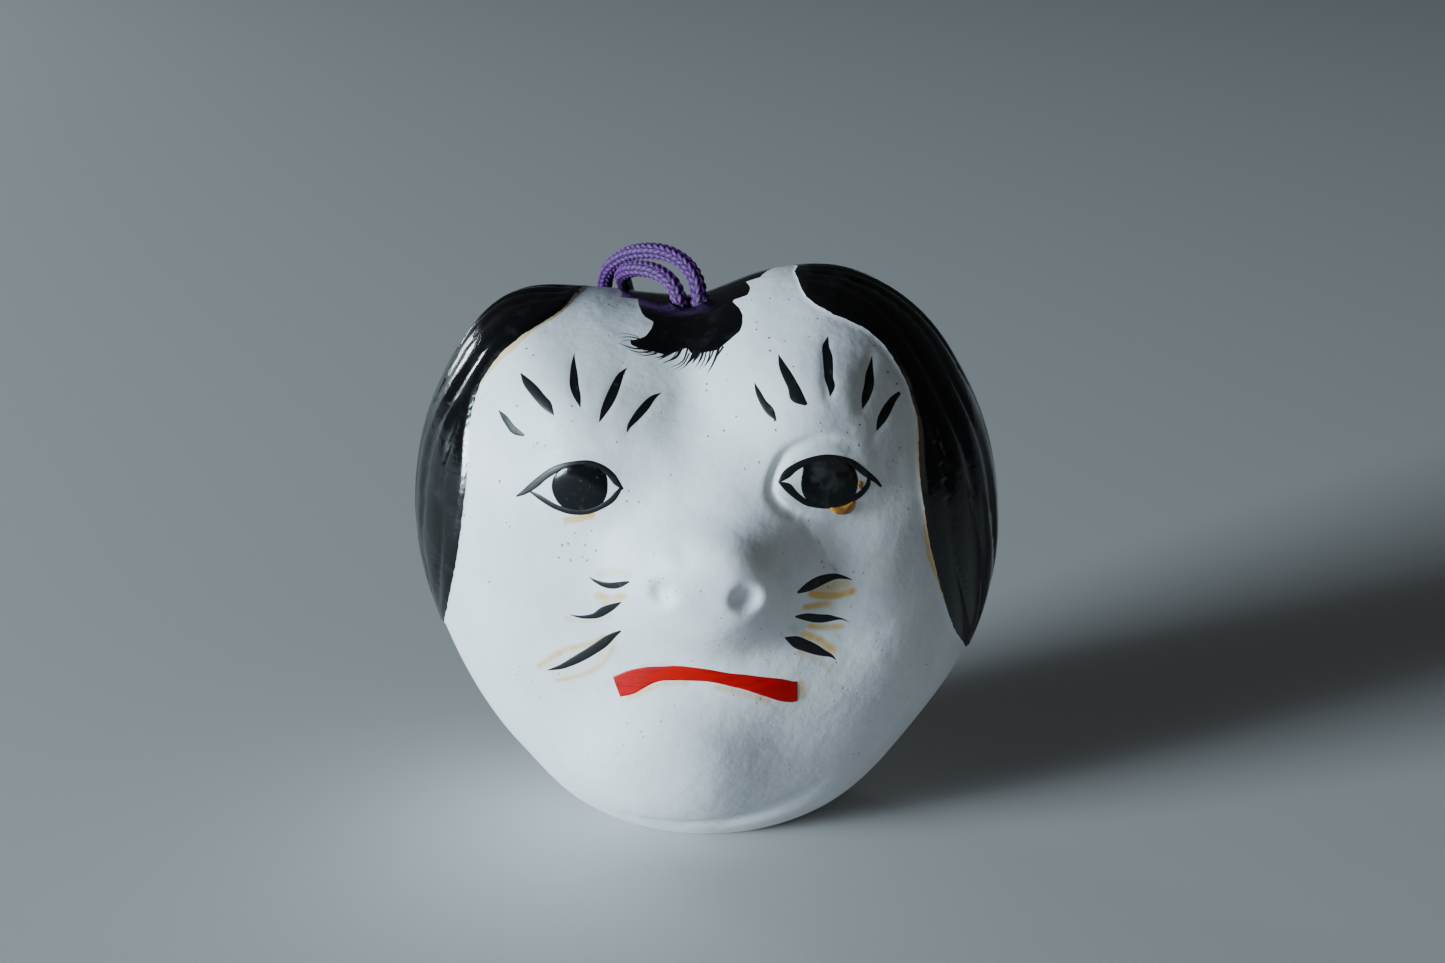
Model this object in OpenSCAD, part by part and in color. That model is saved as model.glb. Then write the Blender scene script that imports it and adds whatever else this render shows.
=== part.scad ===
// Clay bell in the form of a small folk-toy head: two pressed halves joined at a seam,
// a loose clay pellet inside, and a doubled cord that hangs from a knot under the crown hole.
// +Z is up, the face looks towards -Y, +X is on the viewer's right, and the seam is the plane Y = 0.
// The origin is the middle of the flat foot. Millimetres.

/* [Head] */
// Width across the side hair
head_w = 72.5; // [61:0.5:87]
// Height of the highest crest above the middle of the hollow
crown_rise = 35.4; // [30:0.2:43]
// Depth of the plain face in front of the seam
face_d = 23; // [19:0.5:28]
// Depth of the back of the head behind the seam
back_d = 24; // [19:0.5:29]
// Wall of pressed clay at its thinnest, low on the sides, and at the crown, the front and the back
wall = 3.5; // [2.75:0.25:4.5]
// Wall of pressed clay under the hollow, at the foot
floor_t = 4.75; // [3.75:0.25:6]

/* [Face relief] */
// How far the snout stands out from the swelling round it
snout_out = 5.5; // [4:0.5:8]
// Width of the snout
snout_w = 20; // [16:0.5:25]
// Height of the snout
snout_h = 17; // [13.5:0.5:20.5]
// Diameter of each nostril dimple
nostril_d = 3; // [2.4:0.2:4]
// Depth of each nostril dimple
nostril_deep = 1.2; // [0.6:0.2:2]
// How far each brow swells from the forehead
brow_out = 2.2; // [1.2:0.2:3.4]
// How far the chin swells from the face
chin_out = 3.5; // [2:0.25:4.5]

/* [Sound slit] */
// Width of the slit in the foot
slit_w = 5; // [4.6:0.2:6.5]
// Distance between the centres of the slit's round ends
slit_l = 20; // [14:0.5:22]
// Diameter of the slit's round ends
slit_end_d = 6; // [5:0.25:7]

/* [Pellet] */
// Diameter of the clay pellet that strikes the walls
pellet_d = 12; // [9:0.5:15]
// Gap between the pellet and the floor it rolls along
pellet_gap = 0.4; // [0.3:0.05:0.8]

/* [Cord] */
// Diameter of the braided cord
cord_d = 2; // [1.6:0.1:2.4]
// Play between the two strands and the wall of the crown hole, all round
hole_play = 0.4; // [0.3:0.05:0.8]
// Place of the crown hole to the side of the middle
hole_x = -2; // [-4:0.5:2]
// How far the knot is drawn into the mouth of the crown hole
knot_grip = 0.2; // [0.1:0.05:0.4]
// Length of the two cut ends below the knot
tail_l = 6; // [4:0.5:9]

/* [Hidden] */
$fn = 48;

// Outline of the head in the seam plane: angle from +X, and radius as a share of half the width.
// The right crest stands higher than the left one, with a dip for the crown hole between them.
OUTLINE = [[-90, 1.076], [-66, 1.046], [-40, 0.964], [-16, 0.975], [10, 1.01], [34, 1.061], [50, 1.096],
           [64, 1.076], [76, 0.995], [92, 0.868], [104, 0.893], [115, 0.975], [128, 1.091], [142, 1.081],
           [170, 1.015], [200, 0.959], [228, 0.99], [246, 1.056]];
SEGMENTS = 60;      // points around each ring
RINGS = 24;         // rings from the pole to the seam, outside
INNER_RINGS = 10;   // rings from the pole to the seam, inside
DESIGN_W = 72.5;    // width that the relief's places are drawn for
DESIGN_RISE = 35.4; // crown rise that the relief's places are drawn for
DESIGN_MID = 36;    // height of the hollow's middle that the relief's places are drawn for
DESIGN_CROWN = 67.25; // height of the crown at the hole that the cord's route is drawn for
OUTER_POWER = 2.7;  // fullness of the outer profile: 2 is an ellipse
INNER_POWER = 2.4;  // fullness of the hollow's profile
SNOUT_POWER = 3.4;  // flatness of the tip of the snout: 2 is a plain bell curve
SMOOTH_EDGE = 0.25; // share of the radius over which the relief dies away at the seam
NARROWEST = 0.959;  // least share in the outline, the crown apart

hollow_r = head_w / 2 * NARROWEST - wall;
mid_z = hollow_r + floor_t;
orbit_r = hollow_r - pellet_gap - pellet_d / 2;
hole_d = 2 * cord_d + 2 * hole_play;
knot_d = hole_d + cord_d;
overcut = 1;

// Places of the relief from the middle of the hollow, on the design size
SNOUT_AT = [2.2, 4.8];
SWELLING_AT = [3.5, 7];
BRIDGE_AT = [2, 14.5];
BROWS_AT = [[-13.5, 24], [14.5, 25.5]];
VALLEY_AT = [0, 26];
MUZZLE_AT = [0.5, -10.5];
CHIN_AT = [-3.2, -22];
EYES_AT = [[-13.5, 14.5], [15.5, 15.3]];
NOSTRILS_AT = [[-2.9, 4.9], [6.7, 4.7]];

// The doubled cord's middle line: up out of the hole, over the left crest, down the back of the head,
// round the end of the loop and back beside itself
CORD_ROUTE = [[-0.9, 0, 60.5], [-0.9, 0, 63.5], [-0.9, 0.1, 66.6], [-1.2, 1.2, 69.2], [-2.6, 3, 71],
              [-5, 5.2, 71.8], [-8, 7.6, 71.5], [-11, 10.8, 70], [-13.6, 14.2, 67.1], [-14.6, 18, 62.4],
              [-14.8, 21.5, 57], [-15, 23, 51], [-15.4, 24, 45], [-16.2, 24, 39], [-16.8, 24, 33.4],
              [-15.6, 24.3, 30.3], [-12.6, 24.5, 29.1], [-9.6, 24.7, 30.3], [-8.4, 25, 33.4], [-9, 25, 39],
              [-10, 24.5, 45], [-10.6, 24, 51], [-11, 21.5, 57], [-11.4, 17.8, 62.2], [-11.5, 13.8, 65.6],
              [-11.4, 10.6, 67.4], [-10.4, 8.1, 68.8], [-8.6, 5.8, 69.7], [-6.2, 3.4, 69.9],
              [-4.2, 1.3, 69], [-3.2, 0.1, 66.8], [-3.1, 0, 63.5], [-3.1, 0, 60.5]];
RINGS_PER_SPAN = 2; // rings of the cord's tube from one point of the route to the next
CORD_SIDES = 8;     // flat sides of the cord's tube
TAIL_SPREAD = 14;   // angle of each cut end from straight down, in degrees

function key_angle(k) = OUTLINE[(k + len(OUTLINE)) % len(OUTLINE)][0] + 360 * floor(k / len(OUTLINE));
function key_share(k) = OUTLINE[(k + len(OUTLINE)) % len(OUTLINE)][1];
function key_slope(k) = (key_share(k + 1) - key_share(k - 1)) / (key_angle(k + 1) - key_angle(k - 1));
function span_of(a) = max([for (k = [0 : len(OUTLINE) - 1]) if (key_angle(k) <= a) k]);
// Smooth curve through two keys with their slopes
function between(t, y0, y1, m0, m1) =
    (2 * pow(t, 3) - 3 * pow(t, 2) + 1) * y0 + (pow(t, 3) - 2 * pow(t, 2) + t) * m0
    + (3 * pow(t, 2) - 2 * pow(t, 3)) * y1 + (pow(t, 3) - pow(t, 2)) * m1;
function share_at(a) =
    let (k = span_of(a), w = key_angle(k + 1) - key_angle(k))
    between((a - key_angle(k)) / w, key_share(k), key_share(k + 1), w * key_slope(k), w * key_slope(k + 1));
function seam_angle(j) = -90 + 360 * j / SEGMENTS;
SEAM = [for (j = [0 : SEGMENTS - 1]) share_at(seam_angle(j))];
RISE_SHARE = max([for (j = [0 : SEGMENTS - 1]) SEAM[j] * sin(seam_angle(j))]);

// Stretches the outline so that its crest and its foot keep their heights at any width
function height_scale(a) =
    sin(a) > 0 ? crown_rise / (RISE_SHARE * head_w / 2) : mid_z / (DESIGN_MID * head_w / DESIGN_W);
function ring_point(j, reach) =
    let (a = seam_angle(j)) [reach * cos(a), reach * sin(a) * height_scale(a)];
function outer_reach(j) = SEAM[j] * head_w / 2;
// The lower hollow is round about its middle, so that the pellet keeps its gap all along its way
function inner_reach(j) =
    let (a = seam_angle(j), out = outer_reach(j), far = norm(ring_point(j, out)))
    sin(a) > 0 ? min(hollow_r, far - wall) : hollow_r;
function inner_point(j, share) =
    let (a = seam_angle(j)) [share * inner_reach(j) * cos(a), share * inner_reach(j) * sin(a)];

function swell(p, at, spread, power = 2) =
    exp(-pow(pow((p[0] - at[0]) / spread[0], 2) + pow((p[1] - at[1]) / spread[1], 2), power / 2));
function design_point(p) =
    [p[0] * DESIGN_W / head_w, p[1] * (p[1] > 0 ? DESIGN_RISE / crown_rise : DESIGN_MID / mid_z)];
function relief(q) =
    snout_out * swell(q, SNOUT_AT, [snout_w / 2, snout_h / 2], SNOUT_POWER)
    + 2 * (swell(q, SWELLING_AT, [14.5, 11.5]) + swell(q, BRIDGE_AT, [8, 7]))
    + brow_out * (swell(q, BROWS_AT[0], [8, 7]) + swell(q, BROWS_AT[1], [8, 7]))
    - 1.6 * swell(q, VALLEY_AT, [4.5, 9])
    + 1.8 * swell(q, MUZZLE_AT, [12, 6.5])
    + chin_out * swell(q, CHIN_AT, [11.2, 10])
    + 0.9 * (swell(q, EYES_AT[0], [5.5, 3.6], 3) + swell(q, EYES_AT[1], [5.5, 3.6], 3))
    - nostril_deep * (swell(q, NOSTRILS_AT[0], [nostril_d / 2, nostril_d / 2])
                      + swell(q, NOSTRILS_AT[1], [nostril_d / 2, nostril_d / 2]));
function ease(t) = t * t * (3 - 2 * t);
function outer_depth(p, share, side) =
    let (plain = sqrt(max(0, 1 - pow(share, OUTER_POWER))))
    side > 0 ? back_d * plain
    : face_d * plain + relief(design_point(p)) * ease(min(1, (1 - share) / SMOOTH_EDGE));
function inner_depth(share, side) =
    ((side > 0 ? back_d : face_d) - wall) * sqrt(max(0, 1 - pow(share, INNER_POWER)));
function place(p, y) = [p[0], y, mid_z + p[1]];

// Rings of points from the pole outwards, first outside and then inside
function shell_points(side) = concat(
    [place([0, 0], side * outer_depth([0, 0], 0, side))],
    [for (i = [1 : RINGS], j = [0 : SEGMENTS - 1])
        let (share = i == RINGS ? 1 : sin(90 * i / RINGS), p = ring_point(j, share * outer_reach(j)))
        place(p, i == RINGS ? 0 : side * outer_depth(p, share, side))],
    [place([0, 0], side * inner_depth(0, side))],
    [for (i = [1 : INNER_RINGS], j = [0 : SEGMENTS - 1])
        let (share = i == INNER_RINGS ? 1 : sin(90 * i / INNER_RINGS))
        place(inner_point(j, share), i == INNER_RINGS ? 0 : side * inner_depth(share, side))]);
function outer_at(i, j) = i == 0 ? 0 : 1 + (i - 1) * SEGMENTS + j % SEGMENTS;
INNER_START = 1 + RINGS * SEGMENTS;
function inner_at(i, j) = INNER_START + (i == 0 ? 0 : 1 + (i - 1) * SEGMENTS + j % SEGMENTS);
function two_triangles(a, b, c, d) = [[a, b, c], [a, c, d]];
function shell_faces() = concat(
    [for (j = [0 : SEGMENTS - 1]) [0, outer_at(1, j), outer_at(1, j + 1)]],
    [for (i = [1 : RINGS - 1], j = [0 : SEGMENTS - 1])
        each two_triangles(outer_at(i, j), outer_at(i + 1, j), outer_at(i + 1, j + 1), outer_at(i, j + 1))],
    [for (j = [0 : SEGMENTS - 1])
        each two_triangles(outer_at(RINGS, j), inner_at(INNER_RINGS, j),
                           inner_at(INNER_RINGS, j + 1), outer_at(RINGS, j + 1))],
    [for (i = [1 : INNER_RINGS - 1], j = [0 : SEGMENTS - 1])
        each two_triangles(inner_at(i + 1, j), inner_at(i, j), inner_at(i, j + 1), inner_at(i + 1, j + 1))],
    [for (j = [0 : SEGMENTS - 1]) [INNER_START, inner_at(1, j + 1), inner_at(1, j)]]);
function flipped(faces) = [for (f = faces) [f[0], f[2], f[1]]];

// Reach of the crown at the hole, the height of its inner face there, and the knot that bears on it
hole_angle = 90 - atan2(hole_x, head_w * 0.42);
crown_far = norm(head_w / 2 * share_at(hole_angle) * [cos(hole_angle), sin(hole_angle) * height_scale(hole_angle)]);
crown_inner_z = mid_z + min(hollow_r, crown_far - wall) * sin(hole_angle);
knot_z = crown_inner_z - sqrt(pow(knot_d / 2, 2) - pow(hole_d / 2, 2)) + knot_grip;
// How far the crown has moved from the height that the cord's route is drawn for
crown_lift = mid_z + crown_far * sin(hole_angle) - DESIGN_CROWN;

// A smooth line through the route's points, and its rings of corners
function route_point(k) =
    let (n = len(CORD_ROUTE))
    k < 0 ? 2 * CORD_ROUTE[0] - CORD_ROUTE[1]
    : k >= n ? 2 * CORD_ROUTE[n - 1] - CORD_ROUTE[n - 2] : CORD_ROUTE[k];
function along(k, t) =
    let (a = route_point(k - 1), b = route_point(k), c = route_point(k + 1), d = route_point(k + 2))
    b + t * (c - a) / 2 + t * t * (a - 2.5 * b + 2 * c - d / 2) + pow(t, 3) * ((d - a) / 2 + 1.5 * (b - c));
CORD_LINE = [for (k = [0 : len(CORD_ROUTE) - 1], i = [0 : RINGS_PER_SPAN - 1])
    if (k < len(CORD_ROUTE) - 1 || i == 0) along(k, i / RINGS_PER_SPAN) + [0, 0, crown_lift]];
function unit(v) = v / norm(v);
function heading(i) = unit(CORD_LINE[min(i + 1, len(CORD_LINE) - 1)] - CORD_LINE[max(i - 1, 0)]);
function cord_ring(i) =
    let (side = unit(cross([0, 1, 0], heading(i))), lift = cross(heading(i), side))
    [for (j = [0 : CORD_SIDES - 1])
        let (a = 360 * (j + 0.5) / CORD_SIDES)
        CORD_LINE[i] + cord_d / 2 * (cos(a) * side + sin(a) * lift)];
function cord_at(i, j) = i * CORD_SIDES + j % CORD_SIDES;

module pressed_half(side) {
    polyhedron(points = shell_points(side), faces = side > 0 ? flipped(shell_faces()) : shell_faces());
}

module sound_slit() {
    deep = floor_t + pellet_d / 2;
    translate([-slit_l / 2, -slit_w / 2, -overcut]) cube([slit_l, slit_w, deep + overcut]);
    for (x = [-slit_l / 2, slit_l / 2])
        translate([x, 0, -overcut]) cylinder(d = slit_end_d, h = deep + overcut);
}

module crown_hole() {
    translate([hole_x, 0, mid_z + hollow_r / 2]) cylinder(d = hole_d, h = crown_rise);
}

module below_foot() {
    translate([-head_w, -head_w, -head_w]) cube([2 * head_w, 2 * head_w, head_w]);
}

module clay_half(side) {
    difference() {
        pressed_half(side);
        below_foot();
        sound_slit();
        crown_hole();
    }
}

module face_shell() {
    color([0.86, 0.87, 0.88]) clay_half(-1);
}

module back_shell() {
    color([0.06, 0.06, 0.07]) clay_half(1);
}

module clay_pellet() {
    color([0.66, 0.43, 0.3]) translate([0, 0, mid_z - orbit_r]) sphere(d = pellet_d);
}

module hanging_cord() {
    last = len(CORD_LINE) - 1;
    color([0.33, 0.12, 0.55]) polyhedron(
        points = [for (i = [0 : last]) each cord_ring(i)],
        faces = concat(
            [[for (j = [0 : CORD_SIDES - 1]) cord_at(0, j)]],
            [for (i = [0 : last - 1], j = [0 : CORD_SIDES - 1])
                each two_triangles(cord_at(i, j), cord_at(i + 1, j), cord_at(i + 1, j + 1), cord_at(i, j + 1))],
            [[for (j = [CORD_SIDES - 1 : -1 : 0]) cord_at(last, j)]]));
}

module cut_end(side) {
    rotate([0, 180 - side * TAIL_SPREAD, 0]) {
        cylinder(d = cord_d, h = knot_d / 2 + tail_l);
        translate([0, 0, knot_d / 2 + tail_l]) sphere(d = cord_d);
    }
}

module cord_knot() {
    color([0.3, 0.11, 0.5]) translate([hole_x, 0, knot_z]) union() {
        sphere(d = knot_d);
        cut_end(-1);
        cut_end(1);
    }
}

face_shell();
back_shell();
clay_pellet();
hanging_cord();
cord_knot();
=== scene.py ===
"""Looks of a hand-painted clay bell in the form of a small folk-toy head.

The head is worked out in millimetres and its meshes are written in metres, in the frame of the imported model:
+Z is up, the face looks towards -Y, +X is on the viewer's right and the seam of the two halves is Y = 0.
"""

import logging
import math
from collections.abc import Callable, Sequence
from dataclasses import dataclass, field
from enum import Enum

import bmesh
import bpy
import numpy as np
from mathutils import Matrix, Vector


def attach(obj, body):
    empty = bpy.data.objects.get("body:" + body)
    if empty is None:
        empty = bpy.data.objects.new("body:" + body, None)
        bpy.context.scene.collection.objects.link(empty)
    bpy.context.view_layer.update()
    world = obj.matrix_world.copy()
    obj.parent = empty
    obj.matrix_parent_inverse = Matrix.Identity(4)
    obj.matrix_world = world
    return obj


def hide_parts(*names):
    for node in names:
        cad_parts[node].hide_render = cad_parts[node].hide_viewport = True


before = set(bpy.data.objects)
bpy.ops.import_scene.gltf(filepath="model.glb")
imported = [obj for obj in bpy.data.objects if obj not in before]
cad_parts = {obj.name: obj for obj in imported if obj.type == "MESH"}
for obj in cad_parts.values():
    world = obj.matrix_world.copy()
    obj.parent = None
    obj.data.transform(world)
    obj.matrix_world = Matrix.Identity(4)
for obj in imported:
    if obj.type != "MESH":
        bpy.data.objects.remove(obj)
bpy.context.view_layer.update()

log = logging.getLogger("clay_bell")
MM = 0.001
Plan = Sequence[tuple[float, float]]


# ---------------------------------------------------------------- small geometry helpers

def ease(t: np.ndarray | float) -> np.ndarray:
    """Smooth step of a value that runs from 0 to 1."""
    t = np.clip(t, 0.0, 1.0)
    return t * t * (3.0 - 2.0 * t)


def smooth_line(points: Sequence[Sequence[float]], steps: int) -> np.ndarray:
    """A smooth line through points.

    Args:
        points: the points it passes through, each with two or three numbers.
        steps: how many pieces each span is divided into.

    Returns:
        The line's points, one in each row.
    """
    p = np.array(points, float)
    p = np.vstack([2 * p[0] - p[1], p, 2 * p[-1] - p[-2]])
    t = (np.arange(steps) / steps)[:, None]
    spans = [
        b + t * (c - a) / 2 + t**2 * (a - 2.5 * b + 2 * c - d / 2) + t**3 * ((d - a) / 2 + 1.5 * (b - c))
        for a, b, c, d in zip(p[:-3], p[1:-2], p[2:-1], p[3:])
    ]
    return np.vstack([*spans, p[-2]])


def nearest_on_line(points: np.ndarray, line: np.ndarray) -> tuple[np.ndarray, np.ndarray]:
    """How far each point is from a line, and where along it the nearest place is.

    Args:
        points: one point in each row.
        line: the line's points, in order.

    Returns:
        The distances, and the places as a share of the line's number of pieces, from 0 to 1.
    """
    best = np.full(len(points), np.inf)
    place = np.zeros(len(points))
    for k in range(len(line) - 1):
        a, d = line[k], line[k + 1] - line[k]
        t = np.clip((points - a) @ d / max(float(d @ d), 1e-12), 0.0, 1.0)
        away = np.linalg.norm(points - a - t[:, None] * d, axis=1)
        closer = away < best
        best = np.where(closer, away, best)
        place = np.where(closer, (k + t) / (len(line) - 1), place)
    return best, place


def inside_outline(x: np.ndarray, y: np.ndarray, outline: np.ndarray) -> np.ndarray:
    """Whether each place lies inside a closed outline of straight pieces."""
    inside = np.zeros(len(x), bool)
    for (ax, ay), (bx, by) in zip(outline, np.roll(outline, -1, axis=0)):
        crosses = (ay > y) != (by > y)
        at = ax + (y - ay) * (bx - ax) / (by - ay if by != ay else 1e-12)
        inside ^= crosses & (x < at)
    return inside


def disc_place(u: float, v: float) -> tuple[float, float]:
    """Where a place on a square from -1 to 1 goes on a round disc, with even cells.

    Args:
        u: across the square.
        v: up the square.

    Returns:
        The radius from 0 to 1, and the angle in radians.
    """
    if abs(u) < 1e-9 and abs(v) < 1e-9:
        return 0.0, 0.0
    if abs(u) >= abs(v):
        return abs(u), (0.0 if u > 0 else math.pi) + math.pi / 4 * v / u
    return abs(v), (math.pi / 2 if v > 0 else -math.pi / 2) - math.pi / 4 * u / v


class Side(Enum):
    """The two pressed halves, as the sign of their Y."""

    FRONT = -1
    BACK = 1


# ---------------------------------------------------------------- the head's form

@dataclass(frozen=True)
class Swell:
    """A soft rise of the face round its middle, in millimetres. A negative height is a hollow."""

    x: float
    z: float
    spread_x: float
    spread_z: float
    height: float
    power: float = 2.0
    turn: float = 0.0

    def at(self, x: np.ndarray, z: np.ndarray) -> np.ndarray:
        """Its height at places on the face."""
        c, s = math.cos(math.radians(self.turn)), math.sin(math.radians(self.turn))
        u = ((x - self.x) * c + (z - self.z) * s) / self.spread_x
        v = ((z - self.z) * c - (x - self.x) * s) / self.spread_z
        return self.height * np.exp(-((u * u + v * v) ** (self.power / 2)))


@dataclass(frozen=True)
class Crease:
    """A pressed line on the face that fades at its two ends, in millimetres. A negative depth is a ridge."""

    points: Plan
    half_width: float
    depth: float

    def at(self, x: np.ndarray, z: np.ndarray) -> np.ndarray:
        """How far it lowers the face at each place."""
        line = smooth_line(self.points, 5)
        reach = 3 * self.half_width
        near = np.flatnonzero(
            (x > line[:, 0].min() - reach) & (x < line[:, 0].max() + reach)
            & (z > line[:, 1].min() - reach) & (z < line[:, 1].max() + reach)
        )
        low = np.zeros(len(x))
        if len(near):
            away, place = nearest_on_line(np.column_stack([x[near], z[near]]), line)
            fade = np.clip(np.sin(np.pi * np.clip(place, 0.02, 0.98)), 0, 1) ** 0.6
            low[near] = self.depth * fade * np.exp(-((away / self.half_width) ** 2))
        return low


@dataclass(frozen=True)
class HeadForm:
    """The clay head's outer form, in millimetres: an outline in the seam plane, and a depth on each side."""

    half_width: float = 36.8
    middle_height: float = 36.0
    face_depth: float = 23.0
    back_depth: float = 24.0
    fullness: float = 2.7
    edge_share: float = 0.25
    # angle from +X in degrees, and radius as a share of half the width
    outline: Plan = (
        (-90, 1.06), (-66, 1.03), (-40, 0.95), (-16, 0.96), (10, 0.995), (34, 1.045), (50, 1.08),
        (64, 1.06), (76, 0.98), (92, 0.855), (104, 0.88), (115, 0.96), (128, 1.075), (142, 1.065),
        (170, 1.0), (200, 0.945), (228, 0.975), (246, 1.04),
    )
    swells: tuple[Swell, ...] = (
        Swell(2.2, 40.8, 10.0, 8.4, 5.6, 3.4),        # snout
        Swell(3.5, 43.0, 14.5, 11.5, 2.0),            # swelling that the snout stands on
        Swell(7.8, 47.2, 5.0, 4.5, 1.3),              # soft shoulder on its upper right
        Swell(2.0, 50.5, 8.0, 7.0, 2.0),              # bridge
        Swell(-13.5, 60.0, 8.5, 7.0, 2.2),            # left brow
        Swell(14.5, 61.5, 8.5, 7.0, 2.4),             # right brow
        Swell(0.2, 62.0, 4.5, 9.0, -1.6),             # valley between the brows
        Swell(9.5, 49.5, 4.0, 4.5, -0.3),             # hollow beside the bridge, on the right
        Swell(-7.0, 49.0, 4.0, 4.5, -0.4),            # hollow beside the bridge, on the left
        Swell(0.5, 25.5, 12.0, 6.5, 1.8),             # muzzle under the snout
        Swell(-3.2, 14.0, 11.2, 10.0, 3.8, 3.0),      # chin
        Swell(-13.5, 50.9, 6.6, 4.2, 0.9, 3.6, 4.0),  # left eyeball
        Swell(15.4, 52.1, 6.7, 4.3, 1.0, 3.6, -4.0),  # right eyeball
        Swell(-2.9, 40.9, 1.4, 1.5, -1.2, 2.6),       # left nostril
        Swell(6.7, 40.7, 1.5, 1.7, -1.25, 2.6),       # right nostril
        Swell(-2.4, 45.2, 1.5, 1.7, 0.22),            # small lump on the snout
        Swell(-0.4, 46.0, 1.3, 1.3, -0.16),           # small dent beside it
        Swell(22.0, 40.0, 5.0, 7.0, 0.5),             # right cheek
        Swell(17.0, 31.0, 5.0, 5.0, -0.5),            # hollow by the right end of the mouth
    )
    creases: tuple[Crease, ...] = (
        Crease(((-20.9, 51.4), (-18.6, 53.8), (-16.4, 54.8), (-13.5, 55.4), (-11.0, 54.9)), 0.7, 0.22),
        Crease(((13.9, 48.2), (12.0, 48.9), (10.3, 50.0), (9.2, 51.4), (9.2, 52.9), (10.4, 55.4),
                (11.8, 56.4),
                (13.7, 57.0), (16.0, 56.9), (18.4, 56.0)), 0.6, 0.34),
        Crease(((-14.6, 64.5), (-14.5, 62.6), (-13.4, 59.8)), 0.6, 0.2),
        Crease(((-8.3, 63.1), (-9.5, 61.4), (-11.1, 58.2)), 0.7, 0.25),
        Crease(((-4.2, 60.6), (-6.0, 59.1), (-7.9, 56.8)), 0.6, 0.15),
        Crease(((15.0, 67.1), (15.2, 64.1), (15.7, 61.0)), 0.7, 0.32),
        Crease(((20.3, 65.0), (19.8, 62.9), (19.1, 59.2)), 0.7, 0.4),
        Crease(((24.0, 60.6), (22.2, 59.2), (20.8, 56.6)), 0.6, 0.28),
        Crease(((21.5, 51.0), (17.9, 61.0), (17.6, 66.0)), 1.0, -0.12),
        Crease(((12.8, 48.4), (13.9, 46.1), (15.5, 43.4), (16.7, 41.2)), 0.45, 0.14),
        Crease(((-8.0, 5.2), (-2.0, 4.6), (3.2, 4.6), (7.1, 5.6), (10.2, 6.8), (15.0, 9.8)), 1.4, 1.3),
        Crease(((-7.5, 46.8), (-3.0, 49.0), (1.5, 49.6), (5.0, 48.9), (8.4, 46.8), (11.0, 43.6),
                (12.2, 39.6),
                (12.2, 34.0)), 1.5, 0.4),
        Crease(((12.9, 48.6), (10.8, 50.0), (9.5, 51.8), (9.8, 53.9), (11.2, 55.8), (13.4, 56.9),
                (15.8, 57.1)),
               0.55, 0.4),
    )

    def seam_radius(self, angle: np.ndarray) -> np.ndarray:
        """Radius of the outline at angles in degrees."""
        keys = np.array(self.outline, float)
        turns = np.vstack([keys[-2:] - [360, 0], keys, keys[:3] + [360, 0]])
        a, r = turns[:, 0], turns[:, 1]
        angle = (np.asarray(angle, float) + 90.0) % 360.0 - 90.0
        i = np.clip(np.searchsorted(a, angle, side="right") - 1, 1, len(a) - 3)
        width = a[i + 1] - a[i]
        t = (angle - a[i]) / width
        leave = (r[i + 1] - r[i - 1]) / (a[i + 1] - a[i - 1]) * width
        arrive = (r[i + 2] - r[i]) / (a[i + 2] - a[i]) * width
        share = (
            (2 * t**3 - 3 * t**2 + 1) * r[i] + (t**3 - 2 * t**2 + t) * leave
            + (3 * t**2 - 2 * t**3) * r[i + 1] + (t**3 - t**2) * arrive
        )
        return share * self.half_width

    def share(self, x: np.ndarray, z: np.ndarray) -> np.ndarray:
        """How far out each place is, from 0 in the middle to 1 on the outline."""
        rise = z - self.middle_height
        return np.clip(np.hypot(x, rise) / self.seam_radius(np.degrees(np.arctan2(rise, x))), 0.0, 1.0)

    def hand_ripple(self, x: np.ndarray, z: np.ndarray) -> np.ndarray:
        """The slight unevenness that the mould and the fingers leave."""
        return (
            0.09 * np.sin(0.31 * x + 0.17 * z + 0.6) * np.sin(0.23 * z - 0.11 * x + 1.9)
            + 0.03 * np.sin(0.52 * x - 0.44 * z + 2.1) + 0.025 * np.sin(0.71 * z + 0.33 * x + 0.4)
        )

    def depth(self, x: np.ndarray, z: np.ndarray, side: Side) -> np.ndarray:
        """How far the surface stands from the seam plane.

        Args:
            x: places across the head.
            z: heights above the foot.
            side: which half.

        Returns:
            The depths, all positive.
        """
        x, z = np.asarray(x, float), np.asarray(z, float)
        share = self.share(x, z)
        plain = np.sqrt(np.maximum(0.0, 1.0 - share**self.fullness))
        edge = ease((1.0 - share) / self.edge_share)
        if side is Side.BACK:
            return self.back_depth * plain + edge * self.hand_ripple(x + 11.0, z)
        relief = sum(swell.at(x, z) for swell in self.swells) + self.hand_ripple(x, z)
        low = sum((crease.at(x, z) for crease in self.creases), np.zeros(len(x)))
        return self.face_depth * plain + relief * edge - low * ease((1.0 - share) / 0.08)

    def outward(self, x: np.ndarray, z: np.ndarray, side: Side) -> np.ndarray:
        """Unit directions straight out of the surface, one in each row."""
        reach = 0.05
        slope_x = (self.depth(x + reach, z, side) - self.depth(x - reach, z, side)) / (2 * reach)
        slope_z = (self.depth(x, z + reach, side) - self.depth(x, z - reach, side)) / (2 * reach)
        out = np.column_stack([-slope_x, np.full(len(slope_x), float(side.value)), -slope_z])
        return out / np.linalg.norm(out, axis=1, keepdims=True)

    def on_surface(self, x: np.ndarray, z: np.ndarray, side: Side) -> np.ndarray:
        """Points of the surface, one in each row."""
        return np.column_stack([x, side.value * self.depth(x, z, side), z])


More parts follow.
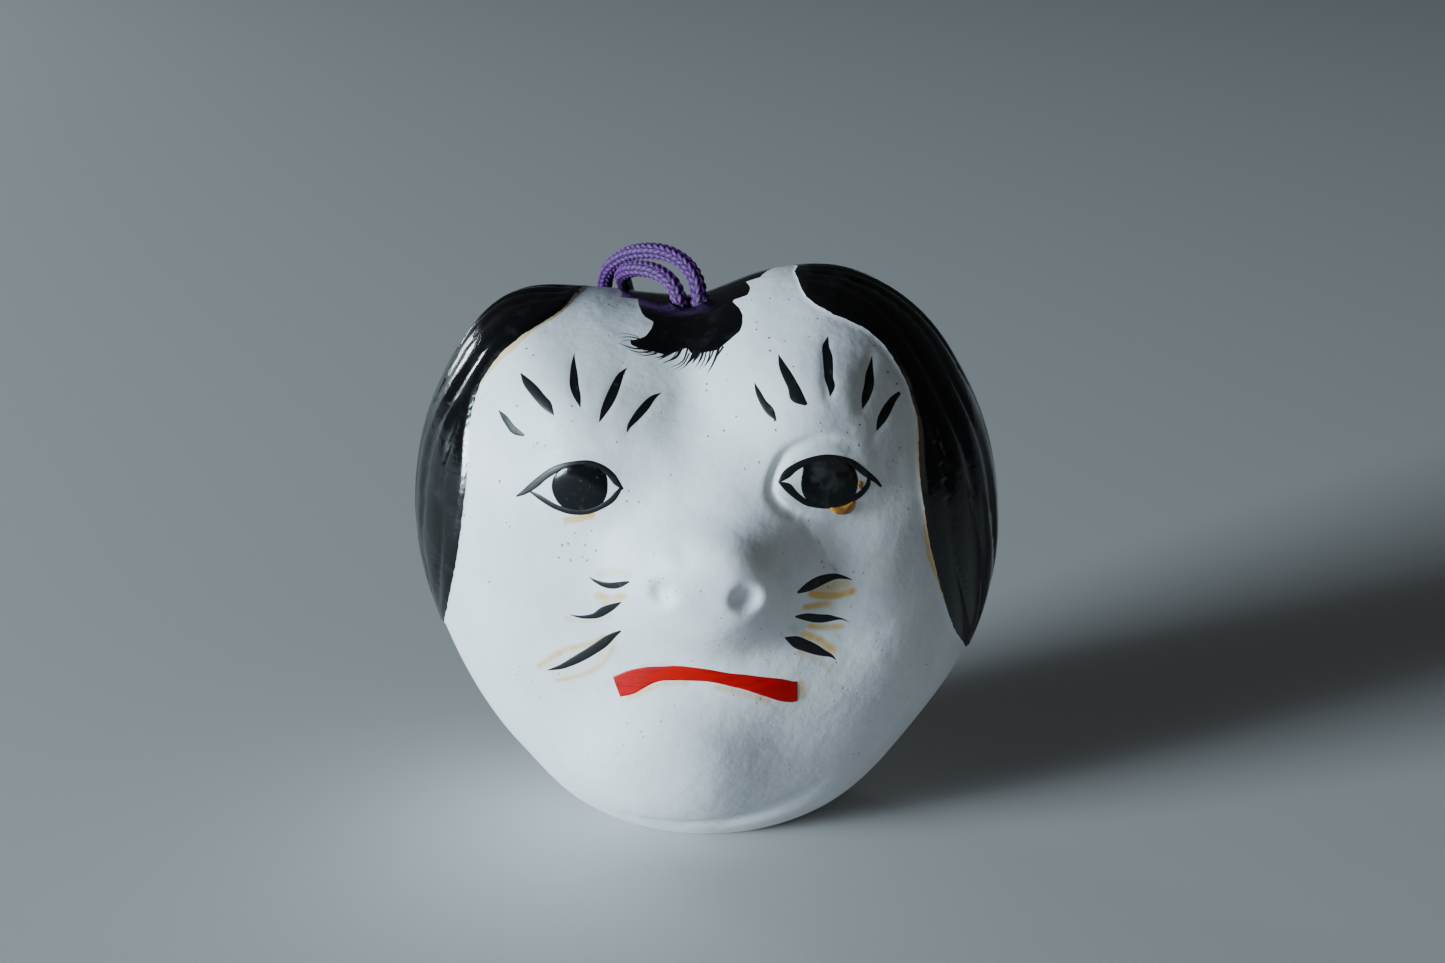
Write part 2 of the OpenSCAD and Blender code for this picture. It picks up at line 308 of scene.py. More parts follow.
@dataclass(frozen=True)
class Sight:
    """The flat plan that the face is drawn on, as it is seen from a little above and beside the front."""

    azimuth: float = 4.0
    elevation: float = 20.0
    middle: tuple[float, float, float] = (2.0, 0.0, 44.0)
    nearest: float = -44.0
    pace: float = 1.0
    halvings: int = 12

    def axes(self) -> tuple[np.ndarray, np.ndarray, np.ndarray]:
        """The plan's directions to the right, up, and away from the viewer."""
        a, e = math.radians(self.azimuth), math.radians(self.elevation)
        away = np.array([-math.sin(a) * math.cos(e), math.cos(a) * math.cos(e), -math.sin(e)])
        right = np.array([math.cos(a), math.sin(a), 0.0])
        return right, np.cross(right, away), away

    def seen(self, points: np.ndarray) -> np.ndarray:
        """Where points in millimetres lie on the plan."""
        right, up, _ = self.axes()
        from_middle = points - np.array(self.middle)
        return np.column_stack([from_middle @ right, from_middle @ up])

    def thrown(self, form: HeadForm, drawn: np.ndarray) -> np.ndarray:
        """Carries places on the plan straight onto the face.

        Args:
            form: the head.
            drawn: places on the plan, one in each row.

        Returns:
            The points of the face that they land on.
        """
        right, up, away = self.axes()
        start = np.array(self.middle) + drawn[:, :1] * right + drawn[:, 1:2] * up
        reach = np.full(len(drawn), self.nearest)
        flying = np.ones(len(drawn), bool)
        for _ in range(int(-self.nearest / self.pace) + 6):
            p = start[flying] + (reach[flying, None] + self.pace) * away
            outside = p[:, 1] + form.depth(p[:, 0], p[:, 2], Side.FRONT) < 0
            flying[np.flatnonzero(flying)[~outside]] = False
            reach[flying] += self.pace
        span = self.pace
        for _ in range(self.halvings):
            span /= 2
            p = start + (reach + span)[:, None] * away
            reach += np.where(p[:, 1] + form.depth(p[:, 0], p[:, 2], Side.FRONT) < 0, span, 0.0)
        p = start + reach[:, None] * away
        return form.on_surface(p[:, 0], p[:, 2], Side.FRONT)


# ---------------------------------------------------------------- shader expressions

class Signal:
    """A shader socket that takes part in Python expressions."""

    def __init__(self, net: "Net", socket: bpy.types.NodeSocket) -> None:
        """Wraps one output socket of a net."""
        self.net = net
        self.socket = socket

    def _math(self, operation: str, *values: "Signal | float") -> "Signal":
        """A Math node on values, as a signal."""
        return self.net.signal("ShaderNodeMath", {"operation": operation}, dict(enumerate(values)))

    def __add__(self, other: "Signal | float") -> "Signal":
        """self + other."""
        return self._math("ADD", self, other)

    def __radd__(self, other: float) -> "Signal":
        """other + self."""
        return self._math("ADD", other, self)

    def __sub__(self, other: "Signal | float") -> "Signal":
        """self - other."""
        return self._math("SUBTRACT", self, other)

    def __rsub__(self, other: float) -> "Signal":
        """other - self."""
        return self._math("SUBTRACT", other, self)

    def __mul__(self, other: "Signal | float") -> "Signal":
        """self * other."""
        return self._math("MULTIPLY", self, other)

    def __rmul__(self, other: float) -> "Signal":
        """other * self."""
        return self._math("MULTIPLY", other, self)

    def top(self, other: "Signal | float") -> "Signal":
        """The larger of two values."""
        return self._math("MAXIMUM", self, other)

    def step(self, low: float, high: float) -> "Signal":
        """0 below low, 1 above high and a smooth rise between them. With low above high it falls."""
        turned = low > high
        settings = {"interpolation_type": "SMOOTHSTEP"}
        start, end = (high, low) if turned else (low, high)
        inputs = {"Value": self, "From Min": start, "From Max": end}
        rise = self.net.signal("ShaderNodeMapRange", settings, inputs)
        return 1.0 - rise if turned else rise


class Net:
    """The node tree of one material, with one Principled surface."""

    def __init__(self, name: str) -> None:
        """Makes the material and clears its tree."""
        self.material = bpy.data.materials.new(name)
        self.material.use_nodes = True
        self.tree = self.material.node_tree
        self.tree.nodes.clear()

    def node(self, kind: str, settings: dict | None = None, inputs: dict | None = None) -> bpy.types.Node:
        """Makes one node.

        Args:
            kind: the node's type.
            settings: properties that are set first.
            inputs: values or signals of its sockets, by name or by number.

        Returns:
            The node.
        """
        made = self.tree.nodes.new(kind)
        for name, value in (settings or {}).items():
            setattr(made, name, value)
        for key, value in (inputs or {}).items():
            socket = made.inputs[key]
            if isinstance(value, Signal):
                self.tree.links.new(value.socket, socket)
            else:
                socket.default_value = value
        return made

    def signal(
        self, kind: str, settings: dict | None = None, inputs: dict | None = None, output: str | int = 0
    ) -> Signal:
        """The same as node, and gives one of its outputs."""
        return Signal(self, self.node(kind, settings, inputs).outputs[output])

    def place(self) -> Signal:
        """Object coordinates, in metres."""
        return self.signal("ShaderNodeTexCoord", output="Object")

    def attribute(self, name: str) -> Signal:
        """A number that the mesh carries at its points."""
        return self.signal("ShaderNodeAttribute", {"attribute_name": name}, output="Fac")

    def stretched(self, scale: tuple[float, float, float]) -> Signal:
        """Object coordinates, scaled along each axis."""
        return self.signal("ShaderNodeMapping", {}, {"Vector": self.place(), "Scale": scale}, "Vector")

    def noise(self, per_metre: float, detail: float = 3.0, where: Signal | None = None) -> Signal:
        """Cloudy variation round 0.5 with that many blotches to a metre."""
        inputs = {"Vector": where or self.place(), "Scale": per_metre, "Detail": detail}
        return self.signal("ShaderNodeTexNoise", {}, inputs, "Fac")

    def spots(self, per_metre: float, where: Signal | None = None) -> Signal:
        """Distance to the nearest of a scatter of points, in their own spacing."""
        inputs = {"Vector": where or self.place(), "Scale": per_metre}
        return self.signal("ShaderNodeTexVoronoi", {"feature": "F1"}, inputs, "Distance")

    def mix(self, share: Signal | float, first: "Signal | Colour", second: "Signal | Colour") -> Signal:
        """A colour between two colours."""
        tones = {6: first if isinstance(first, Signal) else first.rgba,
                 7: second if isinstance(second, Signal) else second.rgba}
        return self.signal("ShaderNodeMix", {"data_type": "RGBA"}, {0: share, **tones}, 2)

    def surface(self, inputs: dict, height: Signal | None = None, relief: float = 0.0) -> bpy.types.Material:
        """Finishes the material.

        Args:
            inputs: values or signals of the Principled surface.
            height: a height for its bump, in metres.
            relief: how strongly the bump shows.

        Returns:
            The material.
        """
        if height is not None:
            bump = self.signal("ShaderNodeBump", {}, {"Height": height, "Strength": relief, "Distance": 1.0})
            inputs = {**inputs, "Normal": bump}
        shader = self.node("ShaderNodeBsdfPrincipled", {}, inputs)
        out = self.node("ShaderNodeOutputMaterial")
        self.tree.links.new(shader.outputs[0], out.inputs["Surface"])
        return self.material


@dataclass(frozen=True)
class Colour:
    """A linear colour."""

    red: float
    green: float
    blue: float

    @property
    def rgba(self) -> tuple[float, float, float, float]:
        """The colour as a socket takes it."""
        return (self.red, self.green, self.blue, 1.0)


# ---------------------------------------------------------------- finishes

@dataclass(frozen=True)
class BlackGloss:
    """Glossy black paint, brushed on thick enough to pool a little."""

    tone: Colour = Colour(0.003, 0.003, 0.0034)
    worn: Colour = Colour(0.010, 0.010, 0.011)
    roughness: float = 0.15
    coat: float = 0.25
    coat_roughness: float = 0.1

    def tone_on(self, net: Net) -> Signal:
        """Its colour, with faint worn clouds."""
        return net.mix(net.noise(420.0, 4.0).step(0.52, 0.72), self.tone, self.worn)

    def roughness_on(self, net: Net) -> Signal:
        """Its roughness, with dull clouds and fine specks."""
        return self.roughness + net.noise(300.0, 5.0).step(0.45, 0.75) * 0.14


@dataclass(frozen=True)
class PaintedClay:
    """The outside of the shells: a white ground with pinholes, black paint over the hair, ochre, and grey for
    grime and painted shade.
    """

    white: Colour = Colour(0.80, 0.83, 0.85)
    cloud: Colour = Colour(0.69, 0.72, 0.745)
    # grey for real grime and for painted shade
    grime_and_shade: Colour = Colour(0.30, 0.27, 0.25)
    pit: Colour = Colour(0.10, 0.08, 0.07)
    ochre: Colour = Colour(0.74, 0.48, 0.15)
    black: BlackGloss = BlackGloss()
    white_roughness: float = 0.5

    def build(self, name: str) -> bpy.types.Material:
        """Makes the material. The mesh carries hair, rim, wash, the grey marks with painted shade, and pores
        at its points.
        """
        net = Net(name)
        hair = net.attribute("hair")
        wobble = (net.noise(900.0, 3.0) - 0.5) * 0.24
        black = (hair + wobble).step(-0.02, 0.02)
        mottle = net.noise(130.0, 6.0).step(0.38, 0.68)
        ground = net.mix(mottle * 0.55, self.white, self.cloud)
        # grey from the smudge attribute: real marks, painted shade, and grey towards the bottom
        ground = net.mix(net.attribute("smudge_and_shade") * net.noise(360.0, 6.0).step(0.30, 0.72), ground, self.grime_and_shade)
        rim = net.attribute("rim")
        edge = (hair + rim + (net.noise(500.0, 2.0) - 0.5) * 0.5).step(-0.12, 0.14) * rim.step(0.02, 0.12)
        wash = net.attribute("wash") * (0.3 + 1.8 * net.noise(700.0, 4.0))
        ground = net.mix((edge * 0.75).top(wash), ground, self.ochre)
        pores = net.attribute("pores")
        fine = net.spots(800.0).step(0.13, 0.07) * net.noise(170.0, 2.0).step(0.5, 0.58)
        coarse = net.spots(420.0).step(0.085, 0.05) * net.noise(110.0, 2.0).step(0.42, 0.52)
        holes = fine.top(coarse * pores.step(0.55, 0.9)) * pores.step(0.2, 0.8)
        ground = net.mix(holes, ground, self.pit)
        colour = net.mix(black, ground, self.black.tone_on(net))
        rough = black * self.black.roughness_on(net) + (1.0 - black) * (
            self.white_roughness + mottle * 0.12 + holes * 0.3
        )
        height = (
            net.noise(2600.0, 3.0) * 0.00002
            + net.noise(520.0, 4.0) * 0.00014
            + net.noise(170.0, 3.0) * 0.0003
            - holes * (1.0 - black) * 0.00025
        )
        coat = {"Coat Weight": black * self.black.coat, "Coat Roughness": self.black.coat_roughness}
        return net.surface({"Base Color": colour, "Roughness": rough, **coat}, height, 0.7)


@dataclass(frozen=True)
class BareClay:
    """Unpainted low-fired clay, as on the inside and the pellet."""

    tone: Colour = Colour(0.42, 0.20, 0.11)
    dark: Colour = Colour(0.25, 0.11, 0.06)
    pale: Colour = Colour(0.55, 0.33, 0.22)

    def build(self, name: str) -> bpy.types.Material:
        """Makes the material."""
        net = Net(name)
        tone = net.mix(net.noise(240.0, 6.0).step(0.4, 0.65), self.tone, self.dark)
        grit = net.spots(1500.0).step(0.22, 0.1)
        tone = net.mix(grit * net.noise(420.0, 2.0).step(0.45, 0.6), tone, self.pale)
        height = net.noise(1800.0, 4.0) * 0.00012 + net.noise(350.0, 3.0) * 0.0003
        return net.surface({"Base Color": tone, "Roughness": 0.85}, height, 0.8)


@dataclass(frozen=True)
class BrushBlack:
    """Black painted strokes, thinner than the hair and a little greyed where the brush ran dry."""

    tone: Colour = Colour(0.006, 0.006, 0.007)
    dry: Colour = Colour(0.05, 0.052, 0.055)
    roughness: float = 0.44

    def build(self, name: str) -> bpy.types.Material:
        """Makes the material."""
        net = Net(name)
        dry = net.noise(900.0, 5.0, net.stretched((1.0, 1.0, 0.6))).step(0.58, 0.78)
        tone = net.mix(dry * 0.8, self.tone, self.dry)
        height = net.noise(1500.0, 4.0) * 0.00005
        inputs = {"Base Color": tone, "Roughness": self.roughness + dry * 0.2, "Specular IOR Level": 0.35}
        return net.surface(inputs, height, 0.6)


@dataclass(frozen=True)
class IrisBlack:
    """Thick glossy black of the eyes, with worn grey specks."""

    tone: Colour = Colour(0.005, 0.005, 0.006)
    worn: Colour = Colour(0.09, 0.095, 0.10)
    roughness: float = 0.16

    def build(self, name: str) -> bpy.types.Material:
        """Makes the material."""
        net = Net(name)
        specks = net.spots(2100.0).step(0.2, 0.08) * net.noise(500.0, 3.0).step(0.5, 0.68)
        cloud = net.noise(330.0, 5.0).step(0.56, 0.74) * 0.3
        tone = net.mix(specks.top(cloud), self.tone, self.worn)
        height = net.noise(900.0, 4.0) * 0.00008
        return net.surface(
            {"Base Color": tone, "Roughness": self.roughness + cloud * 0.5, "Coat Weight": 0.1,
             "Coat Roughness": 0.08, "Specular IOR Level": 0.3},
            height, 0.5,
        )


@dataclass(frozen=True)
class LipRed:
    """Glossy red paint of the mouth, laid on with one flat brush."""

    tone: Colour = Colour(0.48, 0.001, 0.001)
    deep: Colour = Colour(0.26, 0.0005, 0.0005)
    roughness: float = 0.34

    def build(self, name: str) -> bpy.types.Material:
        """Makes the material."""
        net = Net(name)
        streaks = net.noise(700.0, 4.0, net.stretched((0.35, 1.0, 1.6))).step(0.42, 0.72)
        tone = net.mix(streaks * 0.55, self.tone, self.deep)
        height = streaks * 0.00004 + net.noise(900.0, 3.0) * 0.00004
        return net.surface(
            {"Base Color": tone, "Roughness": self.roughness + streaks * 0.1, "Specular IOR Level": 0.22},
            height, 0.6,
        )


@dataclass(frozen=True)
class OchreBead:
    """A glossy bead of thin ochre varnish that ran from under the eye."""

    tone: Colour = Colour(0.56, 0.24, 0.03)
    deep: Colour = Colour(0.24, 0.08, 0.01)

    def build(self, name: str) -> bpy.types.Material:
        """Makes the material."""
        net = Net(name)
        tone = net.mix(net.noise(900.0, 4.0).step(0.4, 0.65), self.tone, self.deep)
        height = net.noise(900.0, 3.0) * 0.00005
        return net.surface({"Base Color": tone, "Roughness": 0.12, "Coat Weight": 0.6}, height, 0.4)


@dataclass(frozen=True)
class PurpleBraid:
    """Lustrous purple yarn. The braid's stitches are in the mesh, and carry how deep each place lies; the
    colour paints shade near black deep between the stitches, and a painted highlight along the middle of each
    strand on the stitches' crowns.
    """

    yarn: Colour = Colour(0.095, 0.006, 0.18)
    # painted highlight on the stitches' crowns
    light: Colour = Colour(0.24, 0.035, 0.30)
    # painted shade deep between the stitches
    painted_gap_shade: Colour = Colour(0.004, 0.0005, 0.01)

    def build(self, name: str) -> bpy.types.Material:
        """Makes the material."""
        net = Net(name)
        crown = net.attribute("crown")
        strand = net.attribute("strand")
        fibres = strand - net.signal("ShaderNodeMath", {"operation": "FLOOR"}, {0: strand})
        ridge = (fibres - 0.5) * (fibres - 0.5) * 4.0
        # painted shade: near black where the stitch lies deep
        tone = net.mix(crown.step(0.05, 0.75), self.painted_gap_shade, self.yarn)
        # painted highlight: lighter on the crowns, along the middle of each strand
        tone = net.mix(crown.step(0.55, 1.0) * (1.0 - ridge) * 0.65, tone, self.light)
        height = (1.0 - ridge) * 0.00003
        return net.surface(
            {"Base Color": tone, "Roughness": 0.5, "Sheen Weight": 0.1, "Sheen Roughness": 0.4}, height, 0.8
        )


@dataclass(frozen=True)
class StudioCard:
    """The plain pale floor."""

    tone: Colour = Colour(0.56, 0.56, 0.55)

    def build(self, name: str) -> bpy.types.Material:
        """Makes the material."""
        net = Net(name)
        return net.surface({"Base Color": self.tone.rgba, "Roughness": 0.8})


# ---------------------------------------------------------------- making objects

def object_from(
    mesh_in_work: bmesh.types.BMesh, name: str, *materials: bpy.types.Material
) -> bpy.types.Object:
    """Turns a bmesh into a smooth object at the origin.

    Args:
        mesh_in_work: the bmesh, in metres. It is freed.
        name: the object's name.
        materials: its materials, in the order of its faces' numbers.

    Returns:
        The object, in the scene.
    """
    mesh = bpy.data.meshes.new(name)
    for face in mesh_in_work.faces:
        face.smooth = True
    mesh_in_work.to_mesh(mesh)
    mesh_in_work.free()
    for material in materials:
        mesh.materials.append(material)
    made = bpy.data.objects.new(name, mesh)
    bpy.context.scene.collection.objects.link(made)
    return made


def points_of(made: bpy.types.Object) -> np.ndarray:
    """An object's points in millimetres, one in each row."""
    flat = np.empty(len(made.data.vertices) * 3)
    made.data.vertices.foreach_get("co", flat)
    return flat.reshape(-1, 3) / MM


def move_points(made: bpy.types.Object, points: np.ndarray) -> None:
    """Puts an object's points at places in millimetres."""
    made.data.vertices.foreach_set("co", (points * MM).ravel())
    made.data.update()


def carry(made: bpy.types.Object, name: str, values: np.ndarray) -> None:
    """Stores a number at each of an object's points, for its material."""
    layer = made.data.attributes.new(name, "FLOAT", "POINT")
    layer.data.foreach_set("value", np.asarray(values, np.float32))


def report(made: bpy.types.Object) -> None:
    """Logs a finished piece."""
    log.info("%s: %d points, %d faces", made.name, len(made.data.vertices), len(made.data.polygons))


def apply_modifiers(made: bpy.types.Object) -> None:
    """Makes what an object's modifiers show its own mesh."""
    depsgraph = bpy.context.evaluated_depsgraph_get()
    mesh = bpy.data.meshes.new_from_object(made.evaluated_get(depsgraph))
    made.modifiers.clear()
    old = made.data
    made.data = mesh
    mesh.name = made.name
    bpy.data.meshes.remove(old)


def cut(made: bpy.types.Object, cutters: Sequence[bpy.types.Object]) -> None:
    """Takes the cutters' shapes out of an object."""
    for cutter in cutters:
        modifier = made.modifiers.new("cut", "BOOLEAN")
        modifier.operation = "DIFFERENCE"
        modifier.solver = "EXACT"
        modifier.object = cutter
    apply_modifiers(made)


# ---------------------------------------------------------------- painted regions

@dataclass(frozen=True)
class Regions:
    """Where the black hair lies, as distances in millimetres: positive in the hair, negative on the white."""

    form: HeadForm
    sight: Sight = Sight()
    # edges of the side hair on the plan, from the crest to the tip
    left_edge: Plan = (
        (-17.3, 27.0), (-17.6, 24.0), (-18.3, 22.3), (-19.4, 20.6), (-21.7, 18.8), (-24.2, 17.1),
        (-26.0, 15.5),
        (-27.6, 13.6), (-28.8, 11.6), (-29.5, 9.6), (-30.0, 7.4), (-30.2, 5.1), (-30.3, 2.0), (-30.6, -0.9),
        (-31.1, -4.0), (-31.6, -7.0), (-32.2, -9.9), (-33.0, -12.7), (-33.7, -14.9), (-34.5, -16.9),
        (-36.0, -20.0),
    )
    right_edge: Plan = (
        (8.9, 29.0), (8.8, 26.6), (8.7, 25.6), (9.0, 24.4), (9.5, 22.7), (10.3, 21.5), (11.6, 20.5),
        (13.1, 19.6),
        (15.0, 18.8), (17.1, 17.7), (18.8, 16.2), (20.1, 14.4), (21.1, 12.6), (21.8, 11.0), (22.4, 9.0),
        (22.9, 7.0), (23.0, 4.1), (23.1, 1.1), (23.6, -2.4), (24.2, -5.9), (25.0, -9.3), (26.0, -12.5),
        (27.0, -15.3), (28.1, -17.8), (29.4, -19.5), (31.0, -21.5),
    )
    # the forelock's edge on the plan, from the left crest round to the right crest
    forelock: Plan = (
        (-12.6, 26.0), (-12.3, 23.8), (-10.9, 23.2), (-10.5, 22.8), (-10.3, 22.0), (-10.0, 21.0),
        (-9.4, 19.9),
        (-8.5, 19.3), (-8.3, 19.0), (-8.6, 18.1), (-9.2, 17.3), (-10.2, 16.9), (-10.9, 16.7), (-10.7, 16.2),
        (-9.5, 15.6), (-8.0, 15.3), (-6.6, 15.0), (-5.3, 15.4), (-4.2, 15.8), (-3.7, 15.2), (-2.4, 15.2),
        (-0.7, 15.5), (0.7, 16.6), (2.0, 17.7), (2.3, 18.5), (2.4, 19.5), (2.2, 20.3), (1.6, 21.1),
        (1.2, 21.7),
        (2.4, 22.1), (3.0, 22.4), (3.3, 23.1), (3.2, 23.7), (2.9, 24.2), (2.9, 24.5), (4.2, 25.3),
        (4.6, 26.0),
    )
    # bare crown patches behind the crests, seen from above
    left_patch: Plan = (
        (-15.6, -3.0), (-15.6, 0.0), (-15.8, 2.5), (-15.2, 5.5), (-13.4, 8.0), (-11.6, 6.0), (-10.7, 3.0),
        (-10.4, 0.0), (-10.4, -3.0),
    )
    right_patch: Plan = (
        (6.5, -3.0), (6.6, 0.0), (7.2, 2.5), (8.0, 5.5), (9.2, 7.0), (10.4, 5.5), (11.0, 2.5), (10.8, 0.0),
        (10.7, -3.0),
    )
    # the hairline round the nape, across and up
    nape: Plan = (
        (-36.5, 30.0), (-33.6, 25.9), (-31.2, 22.8), (-27.0, 19.4), (-19.0, 15.6), (-8.0, 13.2),
        (0.0, 12.8), (8.0, 13.2),
        (20.0, 15.8), (29.0, 20.4), (34.3, 24.3), (37.0, 27.0),
    )
    far: float = 80.0
    above: float = 40.0
    crown_from: float = 58.0

    def _signed(self, points: np.ndarray, edge: np.ndarray, inside: np.ndarray) -> np.ndarray:
        """Distance to an edge on the surface, positive where inside is true."""
        away, _ = nearest_on_line(points, edge)
        return np.where(inside, away, -away)

    def _drawn(self, points: np.ndarray, edge: Plan, closing: Plan) -> np.ndarray:
        """Signed distance on the plan to an edge that far corners close."""
        line = smooth_line(edge, 5)
        places = self.sight.seen(points)
        inside = inside_outline(places[:, 0], places[:, 1], np.vstack([line, closing]))
        return self._signed(places, line, inside)

    def _nape(self, points: np.ndarray) -> np.ndarray:
        """Signed distance to the bare nape, positive below the hairline."""
        line = smooth_line(self.nape, 6)
        lifted = self.form.on_surface(line[:, 0], line[:, 1], Side.BACK)
        below = np.interp(points[:, 0], line[:, 0], line[:, 1]) > points[:, 2]
        return self._signed(points, lifted, below)

    def _by_plan(self, points: np.ndarray, edge: Plan) -> np.ndarray:
        """Signed distance to a closed edge that is drawn from above, on the crown."""
        line = smooth_line([*edge, edge[0]], 4)
        high = points[:, 2] > self.crown_from
        inside = inside_outline(points[:, 0], points[:, 1], line) & high
        top = points[high]
        order = np.argsort(np.hypot(*(top[:, None, :2] - line[None]).transpose(2, 0, 1)), axis=0)[0]
        lifted = np.column_stack([line, top[order, 2]])
        return self._signed(points, lifted, inside)

    def _beyond(self, edge: Plan, across: float) -> Plan:
        """The far corners that close an edge towards one side, level with its two ends."""
        return ((across, edge[-1][1]), (across, edge[0][1]))

    def side_hair(self, points: np.ndarray) -> np.ndarray:
        """Signed distance to the side hair on the face."""
        left = self._drawn(points, self.left_edge, self._beyond(self.left_edge, -self.far))
        right = self._drawn(points, self.right_edge, self._beyond(self.right_edge, self.far))
        return np.maximum(left, right)

    def front(self, points: np.ndarray) -> np.ndarray:
        """Signed distance to all the black of the face half."""
        corners = ((self.forelock[-1][0], self.above), (self.forelock[0][0], self.above))
        return np.maximum(self.side_hair(points), self._drawn(points, self.forelock, corners))

    def back(self, points: np.ndarray) -> np.ndarray:
        """Signed distance to the black of the back half."""
        bare = np.maximum(self._by_plan(points, self.left_patch), self._by_plan(points, self.right_patch))
        return -np.maximum(bare, self._nape(points))


@dataclass(frozen=True)
class CombedHair:
    """How the moulded side hair and the back of the head stand out and are grooved, in millimetres."""

    step: float = 0.35
    step_width: float = 0.8
    groove_depth: float = 0.45
    groove_turn: float = 7.5
    gather: float = 5.0
    back_fade: float = 8.0
    crown: tuple[float, float, float] = (-1.0, 0.0, 67.0)
    crown_clear: float = 9.0
    crown_fade: float = 6.0

    def lift(self, points: np.ndarray, hair: np.ndarray) -> np.ndarray:
        """How far each point moves out along its normal.

        Args:
            points: points of the smooth surface.
            hair: their signed distance to the hair's edge.

        Returns:
            The distances.
        """
        x, y, z = points.T
        around = np.degrees(np.arctan2(y, np.abs(x) + 2.0))
        beside = 1.0 - ease(np.abs(around) / 60.0)
        spacing = self.groove_turn - self.gather * (1.0 - ease((z - 17.0) / 24.0)) * beside
        wander = 1.4 * np.sin(0.13 * z + 0.8 * np.sign(x)) + 0.8 * np.sin(0.31 * z + 1.7 + 0.09 * y)
        phase = (around + wander) / spacing
        wave = 0.5 - 0.5 * np.cos(2 * np.pi * phase)
        groove = (1.0 - wave) ** 2.2
        uneven = 0.6 + 0.4 * np.sin(0.21 * z + 1.3 * np.floor(phase))
        inside = ease((hair - 0.4) / 2.2)
        away = np.linalg.norm(points - np.array(self.crown), axis=1)
        clear = ease((away - self.crown_clear) / self.crown_fade)
        raised = self.step * ease(hair / self.step_width + 0.3) * (1.0 - ease(y / self.back_fade))
        return (raised - self.groove_depth * groove * uneven * inside) * clear


# ---------------------------------------------------------------- the two shells

